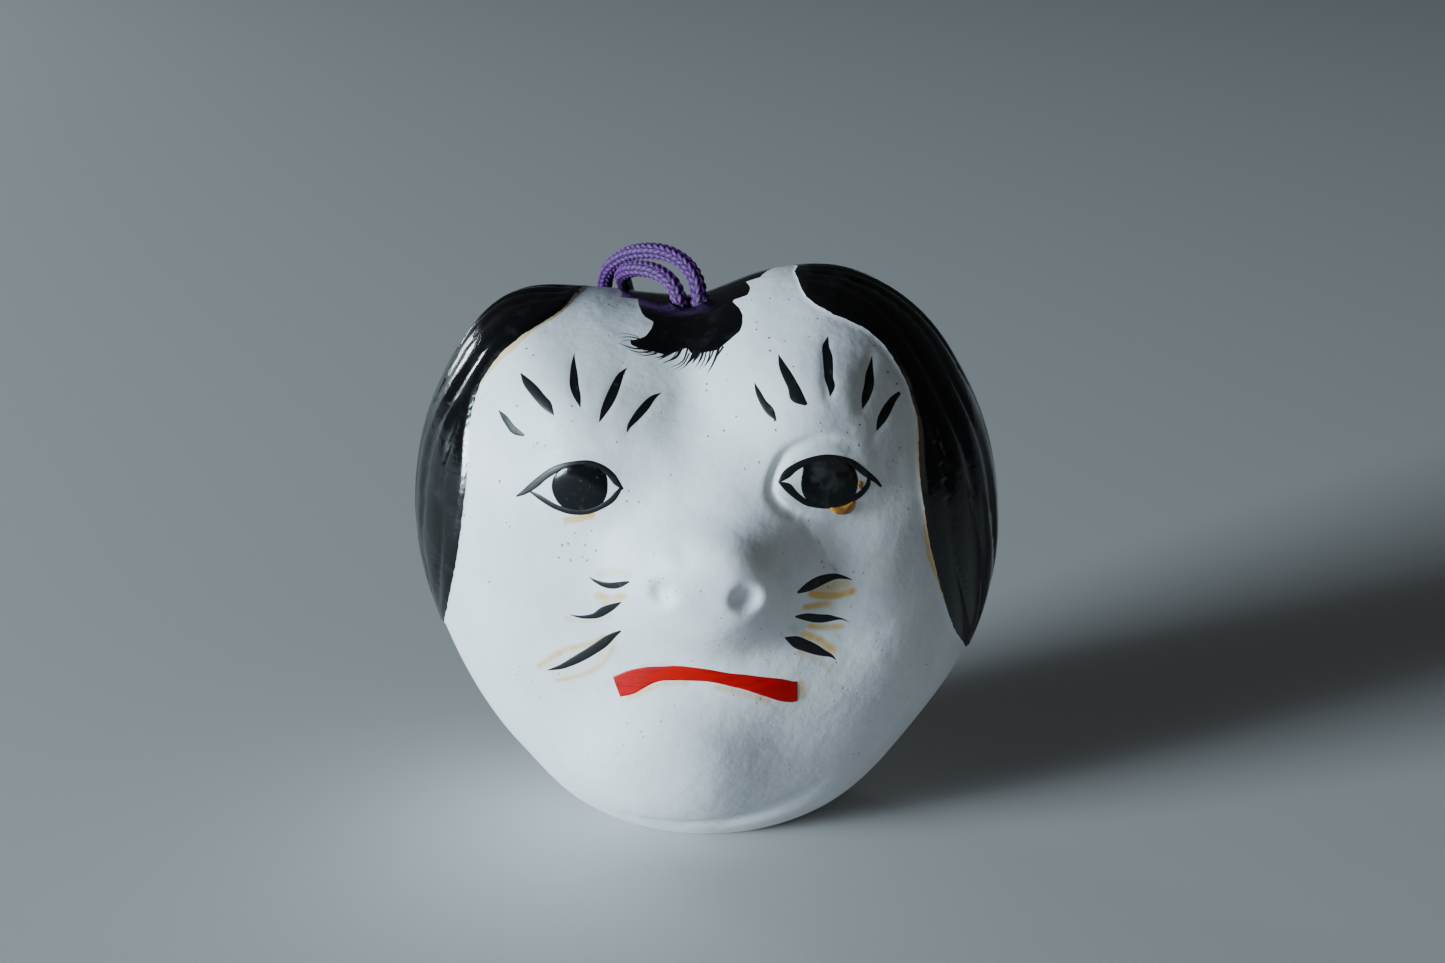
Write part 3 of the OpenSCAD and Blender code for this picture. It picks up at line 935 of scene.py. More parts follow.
@dataclass
class Shells:
    """The two pressed halves of the head, each one closed wall with its share of the holes."""

    form: HeadForm
    wall: float = 3.5
    hollow_radius: float = 31.26
    hollow_fullness: float = 2.4
    front_cells: int = 288
    back_cells: int = 256
    inner_cells: int = 64
    flat_share: float = 0.72
    flat_slope: float = 1.06
    slit_width: float = 5.0
    slit_length: float = 20.0
    slit_end: float = 6.0
    hole_x: float = -2.0
    hole_width: float = 4.8
    # the levels that the cutters reach, and how far the foot's goes below the ground
    slit_span: tuple[float, float] = (-4.0, 12.0)
    hole_span: tuple[float, float] = (52.0, 82.0)
    below: float = 100.0
    no_hair: float = -9.0
    sharp_angle: float = 50.0
    regions: Regions = field(init=False)
    hair: CombedHair = CombedHair()

    def __post_init__(self) -> None:
        """Draws the painted regions on this form."""
        self.regions = Regions(self.form)

    def _share(self, radius: float) -> float:
        """How far out a cell's corner goes, finer over the face than down the sides."""
        if radius < self.flat_share:
            return self.flat_slope * radius
        inner = self.flat_slope * self.flat_share
        turn = (radius - self.flat_share) / (1.0 - self.flat_share)
        return inner + (1.0 - inner) * math.sin(turn * math.pi / 2)

    def _sheet(
        self, work: bmesh.types.BMesh, cells: int, hollow: bool, side: Side
    ) -> list[bmesh.types.BMEdge]:
        """Lays one sheet of the wall and gives the edges of its rim.

        Args:
            work: the bmesh it goes into.
            cells: cells across the sheet.
            hollow: whether it is the inner sheet.
            side: which half.

        Returns:
            The edges of its rim.
        """
        made = bmesh.ops.create_grid(work, x_segments=cells, y_segments=cells, size=1.0)["verts"]
        radius, angle = np.array([disc_place(v.co.x, v.co.y) for v in made]).T
        reach = self.form.seam_radius(np.degrees(angle))
        if hollow:
            share = np.sin(radius * math.pi / 2)
            reach = np.where(np.sin(angle) > 0, reach - self.wall, self.hollow_radius)
            reach = np.minimum(self.hollow_radius, reach)
        else:
            share = np.array([self._share(r) for r in radius])
        x = share * reach * np.cos(angle)
        z = self.form.middle_height + share * reach * np.sin(angle)
        if hollow:
            full = (self.form.back_depth if side is Side.BACK else self.form.face_depth) - self.wall
            depth = full * np.sqrt(np.maximum(0.0, 1.0 - share**self.hollow_fullness))
        else:
            depth = self.form.depth(x, z, side)
        depth[radius > 1.0 - 1e-6] = 0.0
        for vert, a, b, c in zip(made, x * MM, side.value * depth * MM, z * MM):
            vert.co = (a, b, c)
        faces = {f for v in made for f in v.link_faces}
        for face in faces:
            face.material_index = 1 if hollow else 0
        bmesh.ops.recalc_face_normals(work, faces=list(faces))
        outward = sum(f.normal.y for f in faces) * side.value > 0
        if outward == hollow:
            bmesh.ops.reverse_faces(work, faces=list(faces))
        return [e for e in {e for v in made for e in v.link_edges} if e.is_boundary]

    def _block(self, name: str, size: tuple[float, float], span: tuple[float, float]) -> bpy.types.Object:
        """A cutter with square corners, from a low to a high level."""
        low, high = span
        work = bmesh.new()
        bmesh.ops.create_cube(work, size=1.0)
        bmesh.ops.scale(work, verts=work.verts, vec=(size[0] * MM, size[1] * MM, (high - low) * MM))
        bmesh.ops.translate(work, verts=work.verts, vec=(0, 0, (high + low) / 2 * MM))
        return object_from(work, name)

    def _rod(
        self, name: str, x: float, width: float, span: tuple[float, float], segments: int = 40
    ) -> bpy.types.Object:
        """A round upright cutter, from a low to a high level."""
        low, high = span
        work = bmesh.new()
        bmesh.ops.create_cone(
            work, cap_ends=True, segments=segments, radius1=width / 2 * MM,
            radius2=width / 2 * MM, depth=(high - low) * MM,
        )
        bmesh.ops.translate(work, verts=work.verts, vec=(x * MM, 0, (high + low) / 2 * MM))
        return object_from(work, name)

    def _cutters(self) -> list[bpy.types.Object]:
        """Makes the shapes of the sound slit, the crown hole and the flat under the foot."""
        end_x = self.slit_length / 2
        return [
            self._block("slit_cutter", (self.slit_length, self.slit_width), self.slit_span),
            self._rod("slit_end_cutter", -end_x, self.slit_end, self.slit_span),
            self._rod("slit_end_cutter", end_x, self.slit_end, self.slit_span),
            self._rod("crown_hole_cutter", self.hole_x, self.hole_width, self.hole_span, 48),
            self._block("foot_cutter", (self.below, self.below), (-self.below, 0.0)),
        ]

    def _finish_outside(self, made: bpy.types.Object, side: Side) -> None:
        """Raises and grooves the hair, and stores what the paint needs at each point."""
        points = points_of(made)
        normals = np.empty(len(points) * 3)
        made.data.vertices.foreach_get("normal", normals)
        normals = normals.reshape(-1, 3)
        on_skin = self._skin(points, side)
        seam = on_skin & (np.abs(points[:, 1]) < 1e-3)
        normals[seam, 1] = 0.0
        length = np.linalg.norm(normals, axis=1, keepdims=True)
        normals = normals / np.maximum(length, 1e-9)
        face_hair = self.regions.side_hair(points)
        if side is Side.FRONT:
            hair, relief = self.regions.front(points), face_hair
        else:
            hair = self.regions.back(points)
            relief = face_hair + (hair - face_hair) * ease(points[:, 1] / 4.0)
        lift = np.where(on_skin, self.hair.lift(points, relief), 0.0)
        lift *= np.where(points[:, 2] < 0.02, 0.0, 1.0)
        move_points(made, points + normals * lift[:, None])
        carry(made, "hair", np.where(on_skin, hair, self.no_hair))
        paint = Washes()
        for name, amount in (
            ("rim", paint.rim), ("wash", paint.wash), ("smudge_and_shade", paint.smudge_and_shade), ("pores", paint.pores)
        ):
            carry(made, name, amount(points, side))

    def _skin(self, points: np.ndarray, side: Side) -> np.ndarray:
        """Whether each point lies on the outer surface."""
        wanted = self.form.depth(points[:, 0], points[:, 2], side)
        share = self.form.share(points[:, 0], points[:, 2])
        return (np.abs(side.value * points[:, 1] - wanted) < 0.02) | (share > 0.9995)

    def build(self, side: Side, name: str, node: str, slot: str) -> bpy.types.Object:
        """Makes one half.

        Args:
            side: which half.
            name: the piece's name.
            node: the CAD node it stands for.
            slot: not used.

        Returns:
            The piece.
        """
        work = bmesh.new()
        cells = self.front_cells if side is Side.FRONT else self.back_cells
        outer = self._sheet(work, cells, False, side)
        inner = self._sheet(work, self.inner_cells, True, side)
        filled = bmesh.ops.triangle_fill(work, use_beauty=True, edges=[*outer, *inner])
        for face in (g for g in filled["geom"] if isinstance(g, bmesh.types.BMFace)):
            face.material_index = 1
            if face.normal.y * side.value > 0:
                face.normal_flip()
        made = object_from(work, name, PaintedClay().build(f"{name}_paint"), BareClay().build(f"{name}_clay"))
        cutters = self._cutters()
        cut(made, cutters)
        for cutter in cutters:
            bpy.data.objects.remove(cutter)
        self._finish_outside(made, side)
        work = bmesh.new()
        work.from_mesh(made.data)
        for edge in work.edges:
            if len(edge.link_faces) == 2 and edge.calc_face_angle() > math.radians(self.sharp_angle):
                edge.smooth = False
        work.to_mesh(made.data)
        work.free()
        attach(made, "shell")
        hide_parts(node)
        report(made)
        return made


@dataclass(frozen=True)
class Wash:
    """A soft run of colour on the plan, for thin paint, dirt and painted shade: its line, half its width and
    its strength.
    """

    line: Plan
    half_width: float
    strength: float

    def at(self, places: np.ndarray) -> np.ndarray:
        """Its strength at places on the plan."""
        away, _ = nearest_on_line(places, smooth_line(self.line, 4))
        return self.strength * (1.0 - ease((away / self.half_width - 0.35) / 1.0))


@dataclass(frozen=True)
class Washes:
    """Where the ochre, the grey marks and painted shade, and the pinholes lie on the white."""

    sight: Sight = Sight()
    ochre: tuple[Wash, ...] = (
        Wash(((-14.4, -10.9), (-12.6, -10.5), (-10.8, -10.8)), 0.55, 0.3),
        Wash(((-14.7, -13.4), (-13.1, -13.7), (-11.5, -13.4)), 0.55, 0.6),
        Wash(((-12.6, -13.6), (-13.9, -14.3)), 0.4, 0.5),
        Wash(((-18.6, -16.3), (-16.0, -16.6), (-13.2, -15.9)), 0.4, 0.3),
        Wash(((-22.0, -22.2), (-19.0, -20.2), (-15.4, -19.2), (-14.0, -18.4)), 0.42, 0.62),
        Wash(((-19.8, -23.9), (-16.5, -23.0), (-14.1, -21.5), (-12.8, -19.4)), 0.38, 0.52),
        Wash(((-20.2, -22.4), (-16.8, -21.0), (-13.6, -19.6)), 1.6, 0.22),
        Wash(((10.4, -13.1), (13.0, -13.4), (15.2, -12.8)), 0.5, 0.95),
        Wash(((11.4, -12.4), (14.4, -12.1)), 0.8, 0.5),
        Wash(((9.7, -14.7), (11.0, -14.5), (12.5, -14.4)), 0.45, 0.65),
        Wash(((10.3, -17.0), (12.1, -17.2), (14.0, -17.1)), 0.42, 0.7),
        Wash(((9.6, -18.0), (11.3, -18.7), (13.2, -20.0)), 0.55, 0.75),
        Wash(((9.0, -20.0), (11.4, -21.3), (13.3, -22.8)), 0.4, 0.35),
        Wash(((-18.2, -4.5), (-17.0, -4.4), (-15.2, -3.9)), 0.5, 0.78),
        Wash(((-11.2, -25.7), (-9.4, -25.0), (-7.2, -24.0), (-4.3, -23.7)), 0.4, 0.55),
        Wash(((-0.6, -24.3), (1.6, -24.8), (3.8, -25.5), (5.4, -26.2)), 0.4, 0.5),
        Wash(((9.4, -23.9), (9.6, -25.6)), 0.42, 0.62),
        Wash(((-10.0, -22.0), (-7.6, -21.5), (-5.8, -21.5)), 0.3, 0.32),
    )
    # grey on the plan: two real marks, then painted shade
    dirt_and_shade: tuple[Wash, ...] = (
        # a crack, then a small grey smudge
        Wash(((7.7, -2.6), (9.2, -3.9), (10.3, -5.8), (11.9, -8.3), (13.2, -10.4)), 0.26, 0.95),
        Wash(((8.2, -16.9), (8.9, -17.9), (9.4, -17.0)), 0.5, 0.35),
        # painted shade along the creases round the right eye's inner corner
        Wash(((9.2, -3.2), (7.0, -1.9), (5.9, -0.3), (6.3, 1.7), (7.7, 3.5), (9.9, 4.6),
              (12.0, 4.9)), 0.24, 0.5),
        # painted shade in the valley between the brows
        Wash(((-5.4, 9.6), (-3.6, 8.4), (-2.9, 6.8)), 1.4, 0.16),
        # painted shade on the upper right of the snout
        Wash(((1.0, -6.6), (4.6, -8.4), (7.2, -12.0)), 1.8, 0.14),
        # painted shade below the right eye's inner corner, beside the bridge
        Wash(((7.8, -3.8), (8.8, -1.0)), 0.9, 0.15),
        # painted shade on the lower right cheek
        Wash(((10.5, -27.0), (14.0, -24.5), (18.0, -19.0)), 2.4, 0.1),
    )

    def rim(self, points: np.ndarray, side: Side) -> np.ndarray:
        """How wide the ochre shows beside the hair, in millimetres."""
        if side is Side.BACK:
            return np.full(len(points), 0.08)
        u, v = self.sight.seen(points).T
        upper_left = 0.75 * np.exp(-(((u + 25.3) / 3.4) ** 2) - ((v - 15.4) / 3.0) ** 2)
        top_left = 0.2 * np.exp(-(((u + 20.0) / 3.0) ** 2) - ((v - 20.0) / 2.6) ** 2)
        lower_right = 0.62 * np.exp(-(((u - 25.2) / 3.0) ** 2) - ((v + 8.0) / 4.0) ** 2)
        temple = 0.22 * np.exp(-(((u - 23.2) / 3.0) ** 2) - ((v - 3.5) / 3.6) ** 2)
        return 0.04 + upper_left + top_left + lower_right + temple

    def wash(self, points: np.ndarray, side: Side) -> np.ndarray:
        """How strongly the thin ochre shows on the face."""
        if side is Side.BACK:
            return np.zeros(len(points))
        places = self.sight.seen(points)
        return np.max([wash.at(places) for wash in self.ochre], axis=0)

    def smudge_and_shade(self, points: np.ndarray, side: Side) -> np.ndarray:
        """How strongly the grey shows: a crack, a small smudge, painted shade, and grey towards the bottom."""
        x, _, z = points.T
        if side is Side.BACK:
            # greyer towards the bottom of the back
            return 0.12 * ease((22.0 - z) / 16.0)
        places = self.sight.seen(points)
        # greyer towards the bottom of the face
        low = 0.14 * ease((10.0 - z) / 10.0)
        # painted shade on the right cheek
        cheek = 0.12 * np.exp(-(((x - 20.0) / 9.0) ** 2) - ((z - 40.0) / 12.0) ** 2)
        return low + cheek + np.max([wash.at(places) for wash in self.dirt_and_shade], axis=0)

    def pores(self, points: np.ndarray, side: Side) -> np.ndarray:
        """How strongly the pinholes show."""
        x, _, z = points.T
        if side is Side.BACK:
            return np.full(len(x), 0.5)
        brow = np.exp(-(((x - 15.0) / 11.0) ** 2) - ((z - 62.0) / 7.0) ** 2)
        temple = np.exp(-(((x + 22.0) / 9.0) ** 2) - ((z - 52.0) / 14.0) ** 2)
        return np.clip(0.5 + 0.5 * brow + 0.35 * temple, 0.0, 1.0)


# ---------------------------------------------------------------- wrapped skins

Placing = Callable[[np.ndarray, np.ndarray], np.ndarray]


def wrap(
    work: bmesh.types.BMesh, along: int, around: int, place: Placing, carried: Sequence[str] = ()
) -> None:
    """Adds a closed skin: a net of cells that is rolled up, welded and closed at its two ends.

    Args:
        work: the bmesh it goes into.
        along: cells from end to end.
        around: cells round each ring.
        place: gives each corner's point in millimetres, with a number for each carried name after it, from
            its share of the way along and its share of the way round.
        carried: names of the numbers that the points carry.
    """
    layers = [work.verts.layers.float.get(n) or work.verts.layers.float.new(n) for n in carried]
    verts = bmesh.ops.create_grid(work, x_segments=along, y_segments=around, size=0.5)["verts"]
    flat = np.array([v.co[:2] for v in verts]) + 0.5
    ring = np.round(flat[:, 1] * around) % around / around
    placed = place(np.round(flat[:, 0] * along) / along, ring)
    for vert, row in zip(verts, placed.tolist()):
        vert.co = [value * MM for value in row[:3]]
        for layer, value in zip(layers, row[3:]):
            vert[layer] = value
    bmesh.ops.remove_doubles(work, verts=verts, dist=2e-8)
    open_edges = [e for v in verts if v.is_valid for e in v.link_edges if e.is_boundary]
    if open_edges:
        bmesh.ops.holes_fill(work, edges=list(set(open_edges)), sides=0)


def skin_object(work: bmesh.types.BMesh, name: str, *materials: bpy.types.Material) -> bpy.types.Object:
    """Turns wrapped skins into an object whose faces look outwards."""
    bmesh.ops.recalc_face_normals(work, faces=work.faces)
    made = object_from(work, name, *materials)
    report(made)
    return made


@dataclass(frozen=True)
class Film:
    """How thick paint lies on the face, in millimetres: a low dome over a sunken underside."""

    lift: float = 0.07
    sink: float = 0.12
    edge: float = 0.02
    spacing: float = 0.14
    around: int = 18
    spread: float = 1.2
    thin_below: float = 0.25

    def height(self, around: np.ndarray) -> np.ndarray:
        """Height over the clay of a ring's corners, from their share of the way round."""
        wave = np.sin(2 * np.pi * around)
        round_off = np.abs(wave) ** 0.7
        return np.where(wave > 0, self.lift * round_off, -self.sink * round_off) - self.edge

    def lay(self, form: HeadForm, sight: Sight, drawn: np.ndarray, height: np.ndarray) -> np.ndarray:
        """Puts places drawn on the plan onto the clay, at heights over it."""
        landed = sight.thrown(form, drawn)
        return landed + form.outward(landed[:, 0], landed[:, 2], Side.FRONT) * height[:, None]


@dataclass(frozen=True)
class Stroke:
    """One brush stroke on the plan: a line, and how far the paint reaches to its left and to its right."""

    line: Plan
    left: tuple[float, ...]
    right: tuple[float, ...]

    def width(self, shares: tuple[float, ...], along: np.ndarray) -> np.ndarray:
        """One side's reach at shares of the way along."""
        keys = smooth_line([(0.0, w) for w in shares], 8)[:, 1]
        return np.maximum(0.012, np.interp(along, np.linspace(0, 1, len(keys)), keys))

    def paint(self, work: bmesh.types.BMesh, film: Film, form: HeadForm, sight: Sight) -> None:
        """Adds the stroke to a bmesh."""
        line = smooth_line(self.line, 8)
        run = np.concatenate([[0.0], np.cumsum(np.linalg.norm(np.diff(line, axis=0), axis=1))])
        heading = np.gradient(line, axis=0)
        heading /= np.linalg.norm(heading, axis=1, keepdims=True)

        def place(along: np.ndarray, around: np.ndarray) -> np.ndarray:
            """A corner's point on the stroke's skin."""
            at = along * run[-1]
            middle = np.column_stack([np.interp(at, run, line[:, k]) for k in (0, 1)])
            ahead = np.column_stack([np.interp(at, run, heading[:, k]) for k in (0, 1)])
            sideways = np.column_stack([-ahead[:, 1], ahead[:, 0]])
            across = np.cos(2 * np.pi * around)
            left, right = self.width(self.left, along), self.width(self.right, along)
            reach = np.where(across > 0, left, right) * film.spread
            thin = np.minimum(1.0, reach / film.thin_below)
            drawn = middle + sideways * (across * reach)[:, None]
            return film.lay(form, sight, drawn, film.height(around) * thin)

        wrap(work, max(6, int(run[-1] / film.spacing)), film.around, place)


@dataclass(frozen=True)
class Patch:
    """A painted patch on the plan with a closed outline, thickest in the middle."""

    outline: Plan
    dome: float = 0.12
    rings: int = 14

    def paint(self, work: bmesh.types.BMesh, film: Film, form: HeadForm, sight: Sight) -> None:
        """Adds the patch to a bmesh."""
        edge = smooth_line([*self.outline[-2:], *self.outline, *self.outline[:3]], 8)[16:-16]
        middle = np.mean(np.array(self.outline), axis=0)

        def place(along: np.ndarray, around: np.ndarray) -> np.ndarray:
            """A corner's point on the patch's skin."""
            out = 1.0 - np.abs(2 * along - 1.0)
            at = around * (len(edge) - 1)
            rim = np.column_stack([np.interp(at, np.arange(len(edge)), edge[:, k]) for k in (0, 1)])
            dome = film.lift + self.dome * (1 - out**2)
            height = np.where(along < 0.5, dome, -film.sink) * np.clip((1 - out) * 6, 0, 1) ** 0.7 - film.edge
            return film.lay(form, sight, middle + out[:, None] * (rim - middle), height)

        wrap(work, 2 * self.rings, max(24, int(len(edge) * 0.6)), place)


# ---------------------------------------------------------------- the face's paintwork

@dataclass(frozen=True)
class Brows:
    """Ten brow strokes, five over each eye, from their upper to their lower ends."""

    strokes: tuple[Stroke, ...] = (
        Stroke(((-26.4, 8.4), (-25.5, 7.3), (-24.7, 6.3), (-23.8, 5.7), (-23.2, 5.4)),
               (0.04, 0.3, 0.34, 0.3, 0.12), (0.04, 0.3, 0.36, 0.42, 0.1)),
        Stroke(((-23.8, 12.8), (-23.0, 11.7), (-22.0, 10.6), (-21.2, 9.6), (-20.5, 8.7), (-19.6, 7.7)),
               (0.03, 0.4, 0.52, 0.55, 0.62, 0.04), (0.03, 0.4, 0.52, 0.5, 0.36, 0.04)),
        Stroke(((-17.5, 15.1), (-17.5, 13.8), (-17.4, 12.5), (-17.3, 11.2), (-16.9, 9.9), (-16.5, 8.6)),
               (0.02, 0.22, 0.38, 0.45, 0.34, 0.03), (0.02, 0.26, 0.42, 0.46, 0.36, 0.03)),
        Stroke(((-11.2, 13.4), (-11.9, 12.5), (-12.5, 11.1), (-13.1, 9.6), (-13.8, 8.1), (-14.3, 6.9)),
               (0.02, 0.32, 0.48, 0.5, 0.36, 0.04), (0.02, 0.36, 0.48, 0.5, 0.36, 0.04)),
        Stroke(((-7.2, 10.4), (-8.2, 9.7), (-9.2, 8.5), (-10.1, 7.4), (-10.8, 6.5), (-11.1, 5.7)),
               (0.02, 0.28, 0.42, 0.4, 0.28, 0.04), (0.02, 0.3, 0.44, 0.42, 0.28, 0.04)),
        Stroke(((3.7, 11.5), (4.0, 10.6), (4.6, 9.3), (5.3, 8.2), (6.2, 7.0)),
               (0.02, 0.26, 0.34, 0.5, 0.04), (0.02, 0.26, 0.34, 0.36, 0.04)),
        Stroke(((6.5, 14.8), (6.9, 13.4), (7.6, 12.0), (8.3, 10.7), (8.8, 9.8), (9.6, 8.8)),
               (0.02, 0.38, 0.52, 0.54, 0.5, 0.2), (0.02, 0.3, 0.46, 0.56, 0.85, 0.12)),
        Stroke(((12.3, 16.9), (12.1, 15.7), (12.2, 14.4), (12.3, 13.0), (12.3, 11.8), (12.4, 10.9),
                (12.4, 9.8)),
               (0.05, 0.28, 0.5, 0.46, 0.42, 0.5, 0.03), (0.03, 0.42, 0.48, 0.5, 0.46, 0.26, 0.03)),
        Stroke(((17.5, 14.7), (17.3, 13.5), (17.1, 12.4), (17.0, 11.1), (16.6, 9.8), (16.2, 8.4)),
               (0.02, 0.26, 0.5, 0.5, 0.4, 0.03), (0.02, 0.22, 0.4, 0.46, 0.36, 0.03)),
        Stroke(((20.8, 10.4), (20.0, 9.6), (19.2, 8.4), (18.5, 7.2), (17.9, 5.9)),
               (0.16, 0.34, 0.46, 0.42, 0.04), (0.2, 0.4, 0.5, 0.42, 0.04)),
    )


@dataclass(frozen=True)
class Whiskers:
    """Three whisker strokes on each side of the snout, from the left to the right."""

    strokes: tuple[Stroke, ...] = (
        Stroke(((-15.7, -11.2), (-14.8, -11.7), (-13.6, -12.1), (-12.3, -12.1), (-10.8, -11.6)),
               (0.02, 0.16, 0.28, 0.3, 0.08), (0.02, 0.2, 0.3, 0.28, 0.08)),
        Stroke(((-18.1, -15.8), (-16.6, -16.0), (-15.0, -15.8), (-13.7, -15.1), (-12.6, -14.5),
                (-11.8, -14.1)),
               (0.02, 0.12, 0.24, 0.44, 0.3, 0.04), (0.02, 0.16, 0.26, 0.4, 0.34, 0.04)),
        Stroke(((-21.1, -22.7), (-19.1, -22.1), (-16.5, -20.7), (-14.5, -19.4), (-13.1, -18.3),
                (-12.0, -17.6)),
               (0.03, 0.28, 0.42, 0.46, 0.42, 0.08), (0.03, 0.26, 0.42, 0.46, 0.44, 0.1)),
        Stroke(((8.7, -12.9), (10.1, -12.2), (11.6, -11.5), (13.0, -11.1), (14.1, -11.2), (15.2, -11.5)),
               (0.1, 0.42, 0.5, 0.36, 0.2, 0.02), (0.12, 0.42, 0.46, 0.36, 0.18, 0.02)),
        Stroke(((8.5, -15.8), (9.7, -15.9), (11.3, -16.1), (12.8, -16.1), (14.1, -16.2), (14.9, -16.6)),
               (0.1, 0.38, 0.42, 0.36, 0.12, 0.02), (0.08, 0.34, 0.42, 0.34, 0.12, 0.02)),
        Stroke(((7.3, -18.3), (8.7, -18.9), (10.1, -19.5), (11.6, -20.2), (12.9, -20.7), (13.5, -21.2)),
               (0.04, 0.55, 0.56, 0.5, 0.26, 0.02), (0.06, 0.56, 0.58, 0.46, 0.24, 0.02)),
    )


@dataclass(frozen=True)
class EyeLines:
    """The painted lid lines, from the left to the right: the upper and the lower one of each eye."""

    strokes: tuple[Stroke, ...] = (
        Stroke(((-24.3, -1.7), (-23.2, -1.2), (-22.0, -0.3), (-20.7, 0.7), (-19.3, 1.5), (-17.8, 2.0),
                (-16.3, 2.2),
                (-15.1, 2.1), (-13.9, 1.6), (-12.9, 0.8), (-12.2, -0.1), (-11.5, -0.9)),
               (0.05, 0.3, 0.36, 0.34, 0.34, 0.28, 0.22, 0.24, 0.26, 0.3, 0.3, 0.08),
               (0.12, 0.3, 0.44, 0.42, 0.4, 0.3, 0.2, 0.2, 0.3, 0.34, 0.4, 0.1)),
        Stroke(((-22.5, -1.2), (-21.6, -1.7), (-20.5, -2.4), (-19.4, -3.0), (-17.9, -3.5), (-16.5, -3.6),
                (-15.2, -3.4), (-14.0, -2.9), (-12.9, -2.2), (-12.2, -1.4), (-11.7, -0.8)),
               (0.1, 0.24, 0.26, 0.28, 0.3, 0.3, 0.26, 0.26, 0.3, 0.3, 0.2),
               (0.1, 0.24, 0.26, 0.26, 0.26, 0.26, 0.26, 0.24, 0.26, 0.26, 0.1)),
        Stroke(((6.4, -0.1), (7.3, 0.9), (8.4, 1.7), (9.7, 2.3), (11.2, 2.7), (12.3, 2.8), (13.7, 2.6),
                (14.9, 2.2),
                (16.0, 1.5), (16.9, 0.8), (17.8, 0.1), (18.5, -0.6)),
               (0.06, 0.34, 0.34, 0.32, 0.3, 0.28, 0.28, 0.3, 0.32, 0.3, 0.26, 0.12),
               (0.1, 0.5, 0.42, 0.36, 0.34, 0.3, 0.3, 0.34, 0.38, 0.4, 0.26, 0.12)),
        Stroke(((6.5, -0.1), (7.0, -0.5), (7.8, -1.2), (8.7, -1.9), (9.7, -2.5), (10.9, -2.8), (12.2, -2.9),
                (13.6, -2.7), (14.6, -2.3), (15.7, -1.7), (16.4, -1.1), (16.9, -0.4), (17.0, 0.4)),
               (0.1, 0.6, 0.46, 0.36, 0.34, 0.34, 0.34, 0.34, 0.34, 0.34, 0.32, 0.3, 0.2),
               (0.1, 0.24, 0.26, 0.26, 0.24, 0.22, 0.22, 0.24, 0.3, 0.28, 0.26, 0.22, 0.2)),
    )


@dataclass(frozen=True)
class Irises:
    """The two round black irises, cut off by the lids."""

    patches: tuple[Patch, ...] = (
        Patch(((-20.0, -0.7), (-19.8, 0.4), (-19.1, 1.3), (-17.8, 2.0), (-16.4, 2.2), (-15.0, 2.1),
               (-13.9, 1.6),
               (-13.3, 0.6), (-13.2, -0.6), (-13.4, -1.8), (-14.1, -2.9), (-15.3, -3.4), (-16.6, -3.6),
               (-17.9, -3.4), (-19.0, -2.8), (-19.7, -1.8)), 0.16),
        Patch(((8.9, -0.1), (9.0, 0.9), (9.4, 2.1), (10.6, 2.6), (12.2, 2.8), (13.8, 2.6), (15.0, 2.1),
               (15.6, 1.0),
               (15.8, -0.1), (15.5, -1.5), (14.8, -2.3), (13.6, -2.7), (12.2, -2.9), (10.8, -2.8),
               (9.7, -2.2),
               (9.1, -1.3)), 0.16),
    )


@dataclass(frozen=True)
class Mouth:
    """The mouth: one arched flat-brush stroke with square ends."""

    strokes: tuple[Stroke, ...] = (
        Stroke(((-12.6, -24.4), (-11.5, -24.0), (-10.0, -23.4), (-8.0, -22.8), (-5.5, -22.6), (-3.5, -22.7),
                (-1.5, -22.9), (1.0, -23.4), (2.7, -23.7), (4.3, -24.1), (6.4, -24.6), (8.0, -25.0),
                (8.9, -25.0)),
               (1.32, 1.4, 1.17, 0.9, 0.9, 0.85, 0.76, 0.75, 0.85, 1.0, 1.2, 1.38, 1.3),
               (1.32, 1.5, 1.17, 0.9, 0.9, 0.85, 0.76, 0.75, 0.85, 1.0, 1.2, 1.38, 1.25)),
    )


